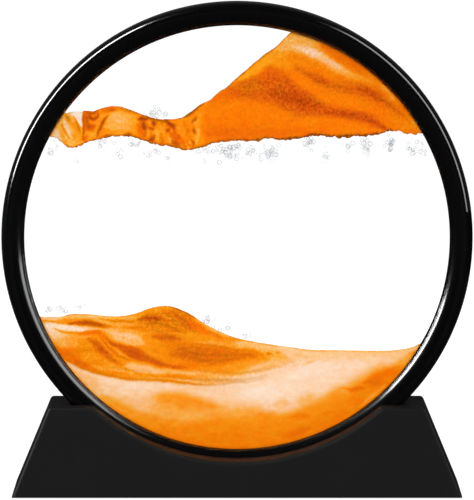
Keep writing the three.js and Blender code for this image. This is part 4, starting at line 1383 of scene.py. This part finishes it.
    # Cream streak under the ring
    Streak(((15, 71.6), (20, 72.6), (24, 72.0), (28, 70.0), (31, 68.6)), 1.8, 0.72, 0.6, 0.9, 0.6),
    Streak(((23, 72.2), (28, 70.5), (31, 69.0), (34, 66.8), (38, 64.5), (42.5, 61.9)),
           1.8, 0.82, 0.3, 1.0, 0.5),
    Streak(((26, 71.4), (29, 70.2), (31.5, 68.8)), 1.0, 0.9, 0.1, 0.65, 0.3),
    Streak(((34, 66.3), (37, 64.7), (41, 62.6)), 1.2, 0.88, 0.2, 0.9, 0.3),
    Streak(((38, 63.8), (44, 61.2), (50, 58.8), (55, 56.4)), 1.5, 0.64, 0.6, 0.9, 0.4),
    Streak(((32.4, 72.8), (38, 69.8), (44, 66.0), (49, 61.8)), 1.6, 0.41, 0.0),
    Streak(((48, 62.6), (54, 57.0), (60, 50.6)), 1.2, 0.5, 0.3, 0.8),
    Streak(((54, 58.4), (58, 54.6), (61, 51.0)), 0.8, 0.64, 0.4, 0.85),
    # Upper dark band
    Streak(((20, 69.0), (26, 66.4), (33, 63.6), (40, 60.6)), 2.0, 0.47, 0.4, 0.8, 0.4),
    Streak(((22.5, 64.6), (26, 62.4), (30, 60.4), (33, 58.2), (36.5, 56.6), (42, 56.4), (47, 56.2),
            (51, 54.8), (54.4, 52.4), (58, 50.0), (63, 46.0)), 1.8, 0.2, 0.1, 0.92, 0.9),
    Streak(((28, 61.2), (31.5, 59.6), (34.5, 57.4)), 1.1, 0.12, 0.1, 0.8, 0.9),
    Streak(((46, 56.6), (51, 54.6), (55.6, 51.6)), 0.9, 0.12, 0.0, 0.85, 0.6),
    Streak(((38, 58.8), (42, 58.2), (47, 57.4)), 0.7, 0.34, 0.4, 0.7, 0.5),
    Streak(((24, 60.0), (31, 55.6), (40, 52.4), (50, 50.0)), 1.8, 0.47, 0.2, 0.7),
    # Main dark band
    Patch(((-2, 57.6), (4, 60.0), (9, 61.8), (14, 63.6), (18, 62.2), (22, 58.8), (28, 54.4), (33, 51.6),
           (38, 49.2), (44, 47.8), (49, 46.8), (54, 43.8), (58, 41.0)),
          ((-2, 53.6), (4, 52.2), (9, 51.6), (14, 49.8), (18, 48.2), (22, 46.6), (28, 46.0), (33, 46.0),
           (38, 45.8), (44, 45.4), (49, 43.8), (54, 41.4), (58, 39.8)), 0.21, 0.08, 0.92, 1.0, 1.6),
    Streak(((8.5, 61.4), (11, 62.8), (14, 63.2), (18.5, 60.6)), 1.4, 0.28, 0.0, 0.9, 0.5),
    Streak(((13, 55.0), (19, 53.4), (25, 51.4), (31, 49.6)), 2.0, 0.05, 0.1, 0.85, 1.0),
    Streak(((2, 56.4), (7, 57.0), (12, 56.6)), 1.8, 0.24, 0.5, 0.7, 0.9),
    Streak(((34, 47.6), (41, 46.6), (47, 45.8), (52, 43.8), (56.5, 41.4)), 1.2, 0.08, 0.0, 0.9, 0.6),
    Streak(((19, 50.0), (22, 47.6), (25, 46.0)), 1.3, 0.24, 0.05, 0.8, 0.7),
    Streak(((58, 46.6), (63, 43.4), (68, 40.6)), 1.6, 0.47, 0.3, 0.8),
    Streak(((66.4, 45.0), (68.4, 42.0), (69.6, 39.8)), 0.7, 0.6, 0.5, 0.8),
    # Dark grains along the edges
    Streak(raised(UPPER_UNDERSIDE[3:-4], 0.3), 0.5, 0.05, 0.7, 0.75, 0.8),
    Streak(raised(UPPER_UNDERSIDE[26:36], 0.4), 0.6, 0.0, 0.6, 0.85, 1.0),
    Streak(raised(UPPER_TOP[22:-2], -0.2), 0.36, 0.15, 0.8, 0.75),
    Streak(((-58, 47.3), (-55, 47.1), (-53, 47.9)), 0.45, 0.05, 0.3, 0.8),
    Streak(((-45, 49.2), (-41, 48.1), (-37, 46.5)), 0.4, 0.14, 0.8, 0.8),
    Streak(((-36, 46.1), (-32, 44.7), (-29.5, 44.3), (-25.6, 44.4)), 0.5, 0.0, 0.8, 0.9),
    Streak(((-23, 44.8), (-20, 45.8), (-17, 47.7), (-14, 50.1), (-12, 51.1)), 0.5, 0.0, 0.9, 0.95),
    Streak(((-12, 51.2), (-7, 54.8), (-4, 56.5), (0, 60)), 0.35, 0.22, 0.7, 0.8),
    *edge_grains(EDGE_GRAINS, UPPER_UNDERSIDE),
)


@dataclass
class SandHeap:
    """One heap of sand between the panes, flat against both, with a rough free edge."""

    name: str
    top: Points
    underside: Points | None
    layers: tuple[Layer, ...]
    replaced: tuple[str, ...]
    tone: float
    gold: float
    ragged: float
    radius: float = 82.2
    half_depth: float = 2.45
    spacing: float = 0.4
    brink: float = 0.3
    relief: float = 0.22
    rim_steps: int = 6
    rear_drop: float = 0.5
    drop_reach: float = 3.0
    lift: float = 0.42
    lip_shade_radius: float = 81.5
    margin: float = 2.0
    edge_steps: int = 40
    ragged_size: float = 1.7
    fray_size: float = 0.6
    fray_start: float = 40.0
    fray_share: float = 0.5
    top_share: float = 0.35
    clear_share: float = 0.55
    shortest_share: float = 0.1
    relief_size: float = 1.3
    weld: float = 1e-6
    sharp_angle: float = 60.0
    seed: int = 21

    def edge_line(self, points: Points, ragged: float) -> np.ndarray:
        """Draw a free edge from one side of the cell to the other.

        Args:
            points: The points that the edge runs through.
            ragged: Height of its unevenness, in millimetres.

        Returns:
            Points of the edge, from left to right.
        """
        line = smooth_line(points, self.edge_steps)
        u = np.arange(-self.radius - self.margin, self.radius + self.margin, self.spacing)
        w = np.interp(u, line[:, 0], line[:, 1] + self.lift)
        noise = Drift(self.seed)
        w = w + ragged * noise.rough(u / self.ragged_size, u * 0)
        w = w + self.fray_share * ragged * noise.at(u / self.fray_size + self.fray_start, u * 0)
        return np.stack([u, w], 1)

    def within(self, line: np.ndarray) -> np.ndarray:
        """The part of an edge inside the cell."""
        return line[np.hypot(*line.T) < self.radius]

    def arc(self, start: np.ndarray, end: np.ndarray) -> np.ndarray:
        """Follow the cell's wall clockwise from one point to another.

        Args:
            start: Where to begin.
            end: Where to stop.

        Returns:
            Points on the wall between them.
        """
        begin = math.atan2(start[1], start[0])
        finish = math.atan2(end[1], end[0])
        while finish > begin:
            finish -= 2 * math.pi
        steps = max(int((begin - finish) * self.radius / self.spacing), 2)
        turn = np.linspace(begin, finish, steps + 1)
        return self.radius * np.stack([np.cos(turn), np.sin(turn)], 1)

    def flat_shape(self) -> tuple[np.ndarray, np.ndarray, np.ndarray, np.ndarray]:
        """Triangulate the heap's outline on a fine grid.

        Returns:
            Points, triangles, and each point's distance below the top and from the nearest free edge.
        """
        top = self.edge_line(self.top, self.top_share * self.ragged)
        crest = self.within(top)
        if self.underside is None:
            below = np.stack([top[:, 0], np.full(len(top), -2 * self.radius)], 1)
            outline = np.vstack([crest, self.arc(crest[-1], crest[0])])
        else:
            below = self.edge_line(self.underside, self.ragged)
            base = self.within(below)[::-1]
            outline = np.vstack([crest, self.arc(crest[-1], base[0]), base, self.arc(base[-1], crest[0])])
        gaps = np.hypot(*np.diff(outline, axis=0, append=outline[:1]).T)
        outline = outline[gaps > self.shortest_share * self.spacing]
        across = np.arange(-self.radius, self.radius, self.spacing)
        up = np.arange(-self.radius, self.radius, self.spacing * math.sqrt(0.75))
        u, w = np.meshgrid(across, up)
        u[::2] += self.spacing / 2
        clear = self.clear_share * self.spacing
        room = np.minimum(np.interp(u, *top.T) - w, w - np.interp(u, *below.T))
        inside = (room > clear) & (np.hypot(u, w) < self.radius - clear)
        points = np.vstack([outline, np.stack([u[inside], w[inside]], 1)])
        loop = list(range(len(outline)))
        places = [Vector(p) for p in points]
        corners, _, triangles, *_ = delaunay_2d_cdt(places, [], [loop], 1, self.weld)
        flat = np.array([tuple(c) for c in corners])
        buried = np.maximum(np.interp(flat[:, 0], *top.T) - flat[:, 1], 0)
        near = np.clip(flat[:, 1] - np.interp(flat[:, 0], *below.T), 0, buried)
        return flat, np.array([tuple(t) for t in triangles]), buried, near

    def half_thickness(self, flat: np.ndarray, near: np.ndarray) -> np.ndarray:
        """How far the sand reaches from the middle of the cell towards a pane.

        Args:
            flat: Points of the heap's outline and grid.
            near: Each point's distance from the nearest free edge.

        Returns:
            Half the heap's thickness at each point, uneven and rounded at the free edges.
        """
        noise = Drift(self.seed + 1)
        rough = noise.rough(flat[:, 0] / self.relief_size, flat[:, 1] / self.relief_size)
        dip = self.relief * (0.5 + 0.5 * rough)
        dip += self.brink * np.clip(1 - near / self.brink, 0, 1) ** 2
        return self.half_depth - dip

    def solid(
        self, flat: np.ndarray, triangles: np.ndarray, depth: np.ndarray, drop: np.ndarray
    ) -> tuple[np.ndarray, Faces, np.ndarray]:
        """Close the heap between a front and a rear face.

        Args:
            flat: Points of the heap's outline and grid.
            triangles: Point numbers of each triangle.
            depth: Half the heap's thickness at each point.
            drop: How much lower the rear face is at each point.

        Returns:
            Corners, faces, and the flat point that each corner comes from.
        """
        sides = np.vstack([triangles[:, [0, 1]], triangles[:, [1, 2]], triangles[:, [2, 0]]])
        edges, counts = np.unique(np.sort(sides, axis=1), axis=0, return_counts=True)
        rim = edges[counts == 1]
        on_rim = np.unique(rim)
        count = len(flat)
        across = flat[:, 0]
        height = flat[:, 1] + DISC_HEIGHT
        layers = [np.stack([across, -depth, height], 1), np.stack([across, depth, height - drop], 1)]
        chains = {int(p): [int(p)] for p in on_rim}
        source = [np.arange(count), np.arange(count)]
        total = 2 * count
        for step in range(1, self.rim_steps):
            share = -1 + 2 * step / self.rim_steps
            level = height - drop * (0.5 + 0.5 * share)
            layers.append(np.stack([across, depth * share, level], 1)[on_rim])
            source.append(on_rim)
            for place, point in enumerate(on_rim):
                chains[int(point)].append(total + place)
            total += len(on_rim)
        for point in on_rim:
            chains[int(point)].append(count + int(point))
        faces: Faces = [tuple(t) for t in triangles.tolist()]
        faces += [tuple(t) for t in (triangles[:, ::-1] + count).tolist()]
        for a, b in rim.tolist():
            for a0, a1, b0, b1 in zip(chains[a], chains[a][1:], chains[b], chains[b][1:]):
                faces.append((a0, a1, b1, b0))
        return np.vstack(layers), faces, np.concatenate(source)

    def build(self) -> bpy.types.Object:
        """Build the heap.

        Returns:
            The heap, with tone, gold, speckle and trace on its points.
        """
        flat, triangles, buried, near = self.flat_shape()
        tones = SandTones(flat[:, 0], flat[:, 1] - self.lift, self.tone, self.gold)
        tones.lay(self.layers)
        # Painted shade under the ring's lip, darkest at the window's edge
        tones.shade(np.hypot(*flat.T) - self.lip_shade_radius)
        depth = self.half_thickness(flat, near)
        drop = self.rear_drop * np.clip(1 - buried / self.drop_reach, 0, 1)
        corners, faces, source = self.solid(flat, triangles, depth, drop)
        mesh = mesh_of(self.name, corners, faces)
        for label in SAND_ATTRIBUTES:
            values = getattr(tones, label)[source].astype(np.float32)
            mesh.attributes.new(label, "FLOAT", "POINT").data.foreach_set("value", values)
        heap = loose_object(self.name, mesh)
        smooth_shade(heap, self.sharp_angle)
        return dress(heap, SAND, Body.DISC, self.replaced)


@dataclass(frozen=True)
class BubbleCluster:
    """Where some bubbles gather, and how many."""

    u: float
    w: float
    half_width: float
    half_height: float
    count: int


@dataclass
class AirBubbles:
    """The small air bubbles that hang under the upper sand and over the lower."""

    name: str = "air_bubbles"
    clusters: tuple[BubbleCluster, ...] = tuple(
        BubbleCluster(*row)
        for row in (
            (-70.5, 34.0, 2.0, 2.5, 14), (-62, 29.5, 1.0, 1.0, 3), (-52, 36.0, 3.0, 1.8, 18),
            (-45, 33.0, 1.2, 1.5, 7), (-39.5, 35.5, 3.0, 1.6, 14), (-32, 32.0, 2.0, 2.0, 8),
            (-26, 30.5, 1.2, 1.5, 5), (-11, 33.0, 2.5, 2.2, 16), (-3, 32.5, 4.0, 3.0, 40),
            (5, 32.0, 2.5, 2.2, 16), (12.5, 31.5, 4.2, 3.2, 36), (28, 36.0, 2.2, 2.6, 16),
            (34.5, 31.0, 1.6, 2.2, 10), (42, 35.0, 2.0, 1.6, 8), (49, 34.0, 2.6, 3.0, 24),
            (58.5, 36.0, 2.6, 2.8, 22), (69.5, 34.5, 4.2, 2.6, 28), (-31, 47.6, 3.0, 1.8, 14),
            (-72.2, -28.2, 1.5, 1.2, 9), (-68.3, -26.8, 1.0, 0.8, 4), (-66.4, -28.4, 2.0, 1.2, 10),
            (-59.0, -26.6, 2.4, 2.2, 8), (-11.5, -32.6, 2.6, 1.8, 14), (-5, -35.5, 2.5, 1.8, 8),
            (4, -38.4, 2.0, 1.4, 4),
        )
    )
    smallest: float = 0.16
    largest: float = 1.0
    size_power: float = 2.6
    crowding: float = 2.0
    scatter: float = 0.6
    reach: float = 80.0
    half_depth: float = 2.3
    around: int = 14
    rows: int = 9
    seed: int = 5

    def sphere(self) -> tuple[np.ndarray, Faces]:
        """A small sphere of unit radius.

        Returns:
            Corners and faces.
        """
        up = np.linspace(0, math.pi, self.rows + 1)[1:-1]
        turn = np.linspace(0, 2 * math.pi, self.around, endpoint=False)
        body = [
            (math.sin(a) * math.cos(t), math.sin(a) * math.sin(t), math.cos(a))
            for a in up
            for t in turn
        ]
        corners = np.array([(0.0, 0.0, 1.0), *body, (0.0, 0.0, -1.0)])
        faces: Faces = []
        last = len(corners) - 1
        for i in range(self.around):
            j = (i + 1) % self.around
            faces.append((0, 1 + i, 1 + j))
            for row in range(self.rows - 2):
                low = 1 + row * self.around
                high = low + self.around
                faces.append((low + i, high + i, high + j, low + j))
            bottom = last - self.around
            faces.append((bottom + i, last, bottom + j))
        return corners, faces

    def build(self) -> bpy.types.Object:
        """Build all the bubbles as one piece.

        Returns:
            The bubbles.
        """
        draw = np.random.default_rng(self.seed)
        unit, shape = self.sphere()
        corners = []
        faces: Faces = []
        made = 0
        for cluster in self.clusters:
            for _ in range(round(cluster.count * self.crowding)):
                u = cluster.u + cluster.half_width * draw.normal() * self.scatter
                w = cluster.w + cluster.half_height * draw.normal() * self.scatter
                share = draw.random() ** self.size_power
                size = self.smallest + (self.largest - self.smallest) * share
                y = draw.uniform(-1, 1) * (self.half_depth - size)
                if math.hypot(u, w) > self.reach - size:
                    continue
                corners.append(unit * size + (u, y, w + DISC_HEIGHT))
                faces += [tuple(c + made for c in face) for face in shape]
                made += len(unit)
        bubbles = loose_object(self.name, mesh_of(self.name, np.vstack(corners), faces))
        bubbles.data.shade_smooth()
        return dress(bubbles, BUBBLE, Body.DISC)


@dataclass
class FrameRing:
    """The two glossy halves of the ring, half round in front of each pane."""

    radius: float = 90.0
    face_width: float = 8.85
    rear_face_width: float = 7.9
    crest_radius: float = 87.0
    inner_fullness: float = 1.75
    lip_depth: float = 4.4
    lip_back: float = 5.6
    bore: float = 87.5
    seam_half: float = 0.1
    seam_round: float = 0.35
    seam_points: int = 5
    window_round: float = 0.3
    window_inset: float = 0.02
    notch_radius: float = 2.8
    notch_bottom: float = 86.5
    notch_rise: float = 4.0
    segments: int = 288
    lip_points: int = 44
    sharp_angle: float = 40.0

    def section(self, side: Side) -> list[tuple[float, float]]:
        """The half ring's section.

        Args:
            side: Front or rear.

        Returns:
            Radius and Y of its points.
        """
        width = self.face_width if side is Side.FRONT else self.rear_face_width
        outer = self.radius - self.crest_radius
        inner_half = width - outer
        turn = np.linspace(0, math.pi, self.lip_points)
        fullness = np.where(turn < math.pi / 2, 1.0, 2 / self.inner_fullness)
        across = np.sign(np.cos(turn)) * np.abs(np.cos(turn)) ** fullness
        reach = np.where(turn < math.pi / 2, outer, inner_half) * across
        rise = self.lip_back + self.lip_depth * np.sin(turn) ** fullness
        lip = [(self.crest_radius + float(r), float(y)) for r, y in zip(reach, rise)]
        lip[-1] = (self.radius - width + self.window_inset, self.lip_back + self.window_round)
        inner = [
            (self.radius - width + self.window_round, self.lip_back),
            (self.bore, self.lip_back),
            (self.bore, self.seam_half),
        ]
        corner = np.linspace(-math.pi / 2, 0, self.seam_points)
        seam = [
            (
                self.radius - self.seam_round + self.seam_round * math.cos(t),
                self.seam_half + self.seam_round + self.seam_round * math.sin(t),
            )
            for t in corner
        ]
        return [(r, side.value * y) for r, y in lip + inner + seam]

    def build(self) -> list[bpy.types.Object]:
        """Build both halves.

        Returns:
            The front and rear half.
        """
        halves = []
        top = DISC_HEIGHT + self.radius + self.notch_rise
        for side, name, node in (
            (Side.FRONT, "front_ring", "front_frame_ring"),
            (Side.REAR, "rear_ring", "rear_frame_ring"),
        ):
            half = loose_object(name, mesh_of(name, *revolved(self.section(side), self.segments, True)))
            carve(half, [post(0, 0, DISC_HEIGHT + self.notch_bottom, top, self.notch_radius)])
            smooth_shade(half, self.sharp_angle)
            halves.append(dress(half, GLOSS_BLACK, Body.DISC, (node,)))
        return halves


@dataclass
class CellLiquid:
    """The clear liquid between the panes."""

    name: str = "cell_liquid"
    radius: float = 82.3
    half_depth: float = 2.7
    rim_round: float = 0.8
    rim_points: int = 6
    segments: int = 160

    def build(self) -> bpy.types.Object:
        """Build the liquid as a thin disc with a rounded rim.

        Returns:
            The liquid, which fills the cell round the sand in every position of the disc.
        """
        rim = [
            (
                self.radius - self.rim_round + self.rim_round * math.sin(t),
                self.half_depth - self.rim_round + self.rim_round * math.cos(t),
            )
            for t in np.linspace(0, math.pi / 2, self.rim_points)
        ]
        section = rim + [(r, -y) for r, y in reversed(rim)]
        fill = loose_object(self.name, mesh_of(self.name, *revolved(section, self.segments, False)))
        smooth_shade(fill)
        return dress(fill, LIQUID, Body.LIQUID, ("liquid_middle", "liquid_top"))


@dataclass
class Stand:
    """The low black stand: a block with sloping sides, cut away round the ring."""

    top: float = 34.3
    bottom: float = 0.5
    top_width: float = 143.8
    top_depth: float = 40.0
    bottom_width: float = 171.6
    bottom_depth: float = 50.0
    groove_radius: float = 90.3
    groove_half: float = 10.3
    cradle_radius: float = 84.0
    cradle_round: float = 1.8
    corner_round: float = 1.6
    top_round: float = 1.0
    groove_round: float = 0.7
    foot_round: float = 0.5
    pocket_width: float = 164.8
    pocket_depth: float = 44.5
    pocket_top: float = 3.2
    pocket_start: float = -2.5
    screw_x: float = 65.1
    screw_y: float = 13.0
    screw_hole: float = 1.6
    screw_hole_top: float = 12.5
    segments: int = 240
    weld: float = 0.001
    least_turn: float = 15.0
    near_face: float = 0.05
    near_level: float = 0.1
    longest_step: float = 5.0
    bevel_segments: int = 5
    sharp_angle: float = 30.0

    def block(self) -> bpy.types.Object:
        """The uncut block with its sloping sides."""
        foot = rectangle(self.bottom_width, self.bottom_depth, self.bottom)
        return prism("stand", foot, rectangle(self.top_width, self.top_depth, self.top))

    def ring_cutter(self) -> bpy.types.Object:
        """Make the cutter for the ring's groove and the wide cut through both walls.

        Returns:
            The cutter, which carve removes.
        """
        out = self.bottom_depth
        section = [
            (self.cradle_radius, -out),
            (self.cradle_radius, -self.groove_half),
            (self.groove_radius, -self.groove_half),
            (self.groove_radius, self.groove_half),
            (self.cradle_radius, self.groove_half),
            (self.cradle_radius, out),
        ]
        return loose_object("cutter", mesh_of("cutter", *revolved(section, self.segments, False)))

    def box_cutter(self) -> bpy.types.Object:
        """The pocket for the plate, open below."""
        levels = (self.pocket_start, self.pocket_top)
        return prism("cutter", *(rectangle(self.pocket_width, self.pocket_depth, z) for z in levels))

    def rounding(self, edge: bmesh.types.BMEdge) -> float:
        """How far to round an edge.

        Args:
            edge: An edge of the cut block, in metres.

        Returns:
            The rounding in millimetres, or 0 for none.
        """
        if len(edge.link_faces) != 2 or edge.calc_face_angle(0) < math.radians(self.least_turn):
            return 0.0
        ends = [v.co / MM for v in edge.verts]
        reach = [math.hypot(p.x, p.z - DISC_HEIGHT) for p in ends]
        on_cradle = all(abs(r - self.cradle_radius) < self.near_face for r in reach)
        in_groove = all(abs(abs(p.y) - self.groove_half) < self.near_face for p in ends)
        on_top = all(p.z > self.top - self.near_level for p in ends)
        if on_cradle and not in_groove and abs(ends[0].y - ends[1].y) < self.longest_step:
            return self.cradle_round
        if in_groove:
            return self.groove_round if on_cradle or on_top else 0.0
        if on_top:
            return self.top_round
        if all(p.z < self.bottom + self.near_level for p in ends):
            return self.foot_round
        return self.corner_round

    def build(self) -> bpy.types.Object:
        """Build the stand.

        Returns:
            The stand, rounded and hollowed below.
        """
        stand = self.block()
        carve(stand, [self.ring_cutter()])
        work = bmesh.new()
        work.from_mesh(stand.data)
        bmesh.ops.remove_doubles(work, verts=work.verts, dist=self.weld * MM)
        weight = work.edges.layers.float.new("bevel_weight_edge")
        for edge in work.edges:
            edge[weight] = self.rounding(edge) / self.cradle_round
        work.to_mesh(stand.data)
        work.free()
        bevel = stand.modifiers.new("rounding", "BEVEL")
        bevel.limit_method = "WEIGHT"
        bevel.width = self.cradle_round * MM
        bevel.segments = self.bevel_segments
        bevel.use_clamp_overlap = False
        settle(stand)
        holes = [
            post(sx * self.screw_x, sy * self.screw_y, self.bottom, self.screw_hole_top, self.screw_hole)
            for sx in (-1, 1)
            for sy in (-1, 1)
        ]
        carve(stand, [self.box_cutter(), *holes])
        smooth_shade(stand, self.sharp_angle)
        even = stand.modifiers.new("even_normals", "WEIGHTED_NORMAL")
        even.keep_sharp = True
        settle(stand)
        return dress(stand, SATIN_BLACK, Body.STAND, ("base_shell",))


@dataclass
class KeptNodes:
    """CAD pieces whose shape stays, by finish."""

    finishes: tuple[tuple[Finish, tuple[str, ...]], ...] = (
        (GLASS, ("front_glass", "rear_glass")),
        (MATT_BLACK, ("front_bezel_tape", "rear_bezel_tape", "cell_spacer", "base_plate")),
        (SEALANT, ("front_glass_seal", "rear_glass_seal")),
        (SOFT_RUBBER, ("filler_plug", *(f"foot_{corner}" for corner in CORNERS))),
        (STEEL, tuple(f"base_screw_{corner}" for corner in CORNERS)),
    )

    def dress(self) -> list[bpy.types.Object]:
        """Give every kept piece its finish.

        Returns:
            The pieces.
        """
        dressed = []
        for finish, names in self.finishes:
            for name in names:
                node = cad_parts[name]
                if not node.material_slots:
                    node.data.materials.append(None)
                for slot in node.material_slots:
                    slot.material = finish.material()
                dressed.append(node)
        return dressed


@dataclass(frozen=True)
class Softbox:
    """A rectangular lamp aimed at the disc."""

    name: str
    place: tuple[float, float, float]
    width: float
    height: float
    watts: float
    role: LampRole
    spread: float = 180.0

    def build(self, aim: Vector) -> bpy.types.Object:
        """Add the lamp.

        Args:
            aim: The point that it faces, in metres.

        Returns:
            The lamp.
        """
        lamp = bpy.data.lights.new(self.name, "AREA")
        lamp.shape = "RECTANGLE"
        lamp.size = self.width
        lamp.size_y = self.height
        lamp.energy = self.watts
        lamp.spread = math.radians(self.spread)
        made = loose_object(self.name, lamp)
        aim_at(made, self.place, aim)
        made.visible_camera = False
        made.visible_transmission = False
        made.visible_glossy = self.role is not LampRole.FILL
        made.visible_diffuse = self.role is not LampRole.STREAK
        return made


@dataclass(frozen=True)
class Flag:
    """A curved black card round the disc's axis that keeps a lamp off part of the ring."""

    name: str
    radius: float
    span: tuple[float, float]
    near: float = -10.6
    far: float = -55.0
    steps: int = 24

    def build(self) -> bpy.types.Object:
        """Hang the card.

        Returns:
            The card, which shows in reflections and shades lamps, but is not seen.
        """
        turn = np.radians(np.linspace(*self.span, self.steps))
        edge = np.stack([self.radius * np.cos(turn), DISC_HEIGHT + self.radius * np.sin(turn)], 1)
        corners = np.array([(x, y, z) for x, z in edge for y in (self.far, self.near)])
        faces: Faces = [(i, i + 1, i + 3, i + 2) for i in range(0, len(corners) - 2, 2)]
        card = loose_object(self.name, mesh_of(self.name, corners, faces))
        card.data.materials.append(MATT_BLACK.material())
        card.visible_camera = False
        card.visible_diffuse = False
        card.visible_transmission = False
        return card


@dataclass
class Studio:
    """Floor, lamps, cards, world and camera."""

    camera_place: tuple[float, float, float] = (0.0, -1.942, 0.27502)
    camera_aim: tuple[float, float, float] = (0.0, 0.0, 0.09282)
    lens_mm: float = 366.7
    sensor_mm: float = 36.0
    far_clip: float = 200.0
    floor_half: float = 30.0
    ambient: float = 0.3
    backdrop: float = 0.055
    backdrop_start: float = 0.1
    backdrop_full: float = 0.6
    flags: tuple[Flag, ...] = (
        Flag("upper_left_flag", 92.6, (100.0, 142.0)),
        Flag("upper_right_flag", 92.6, (48.0, 78.0), -14.0, -66.0),
        Flag("right_flag", 92.6, (-9.0, 6.5), -2.0, -20.0),
    )
    lamps: tuple[Softbox, ...] = (
        Softbox("front_key", (0.0, -1.9, 0.42), 0.7, 0.6, 27.5, LampRole.FILL),
        Softbox("top_fill", (0.0, -0.55, 1.5), 1.2, 0.6, 6.5, LampRole.FILL),
        Softbox("left_strip", (-0.93, -0.18, 0.82), 0.3, 1.2, 46.0, LampRole.STREAK),
        Softbox("right_panel", (1.0, -0.36, 0.7), 0.5, 1.42, 14.5, LampRole.STREAK),
        Softbox("rear_fill", (0.0, 1.9, 0.42), 0.5, 0.5, 0.5, LampRole.FILL, 18.0),
    )

    def light(self) -> None:
        """Add the cards and the lamps, with the cards out of the fill lamps' way."""
        aim = Vector((0, 0, DISC_HEIGHT * MM))
        cards = bpy.data.collections.new("cards")
        for flag in self.flags:
            cards.objects.link(flag.build())
        for entry in cards.collection_objects:
            entry.light_linking.link_state = "EXCLUDE"
        for lamp in self.lamps:
            made = lamp.build(aim)
            if lamp.role is LampRole.FILL:
                made.light_linking.blocker_collection = cards

    def surround(self) -> None:
        """Add the world: white where it is seen, dim behind the object in reflections."""
        world = bpy.data.worlds.new("studio")
        bpy.context.scene.world = world
        world.use_nodes = True
        sheet = Sheet(world.node_tree)
        seen, glossy = sheet.rays()
        way = sheet.add("ShaderNodeTexCoord", output="Generated")
        back = sheet.add("ShaderNodeSeparateXYZ", sockets={0: way}, output="Y")
        behind = sheet.rise(back, self.backdrop_start, self.backdrop_full)
        strength = seen + glossy * behind * self.backdrop + (1.0 - seen.at_least(glossy)) * self.ambient
        shine = sheet.add("ShaderNodeBackground", sockets={"Color": WHITE, "Strength": strength})
        sheet.add("ShaderNodeOutputWorld", sockets={"Surface": shine})

    def floor(self) -> bpy.types.Object:
        """Lay the floor.

        Returns:
            The floor.
        """
        half = self.floor_half / MM
        corners = np.array([(-half, -half, 0), (half, -half, 0), (half, half, 0), (-half, half, 0)])
        made = loose_object("studio_floor", mesh_of("studio_floor", corners, [(0, 1, 2, 3)]))
        made.data.materials.append(FLOOR.material())
        return made

    def camera(self) -> bpy.types.Object:
        """Set the camera where the photograph was taken from.

        Returns:
            The camera.
        """
        lens = bpy.data.cameras.new("camera")
        lens.lens = self.lens_mm
        lens.sensor_width = self.sensor_mm
        lens.sensor_fit = "AUTO"
        lens.clip_end = self.far_clip
        made = loose_object("camera", lens)
        aim_at(made, self.camera_place, Vector(self.camera_aim))
        bpy.context.scene.camera = made
        return made


def main() -> None:
    """Build the studio and every piece in order."""
    logging.basicConfig(level=logging.INFO, format="%(name)s: %(message)s")
    bpy.context.scene.view_settings.view_transform = "Standard"
    bpy.context.scene.cycles.transparent_max_bounces = CLEAR_BOUNCES
    studio = Studio()
    studio.camera()
    studio.light()
    studio.surround()
    studio.floor()
    lower = SandHeap(
        "lower_sand",
        top=LOWER_CREST,
        underside=None,
        layers=LOWER_LAYERS,
        replaced=("lower_sand_bed", "lower_sand_drift", "lower_sand_dunes"),
        tone=0.5,
        gold=0.5,
        ragged=0.25,
    )
    upper = SandHeap(
        "upper_sand",
        top=UPPER_TOP,
        underside=UPPER_UNDERSIDE,
        layers=UPPER_LAYERS,
        replaced=("upper_sand_ribbon", "upper_sand_peak"),
        tone=0.45,
        gold=0.2,
        ragged=0.5,
    )
    pieces = [
        Stand().build(),
        *FrameRing().build(),
        CellLiquid().build(),
        lower.build(),
        upper.build(),
        AirBubbles().build(),
        *KeptNodes().dress(),
    ]
    for piece in pieces:
        log.info("%s: %d faces", piece.name, len(piece.data.polygons))


if __name__ == "__main__":
    main()
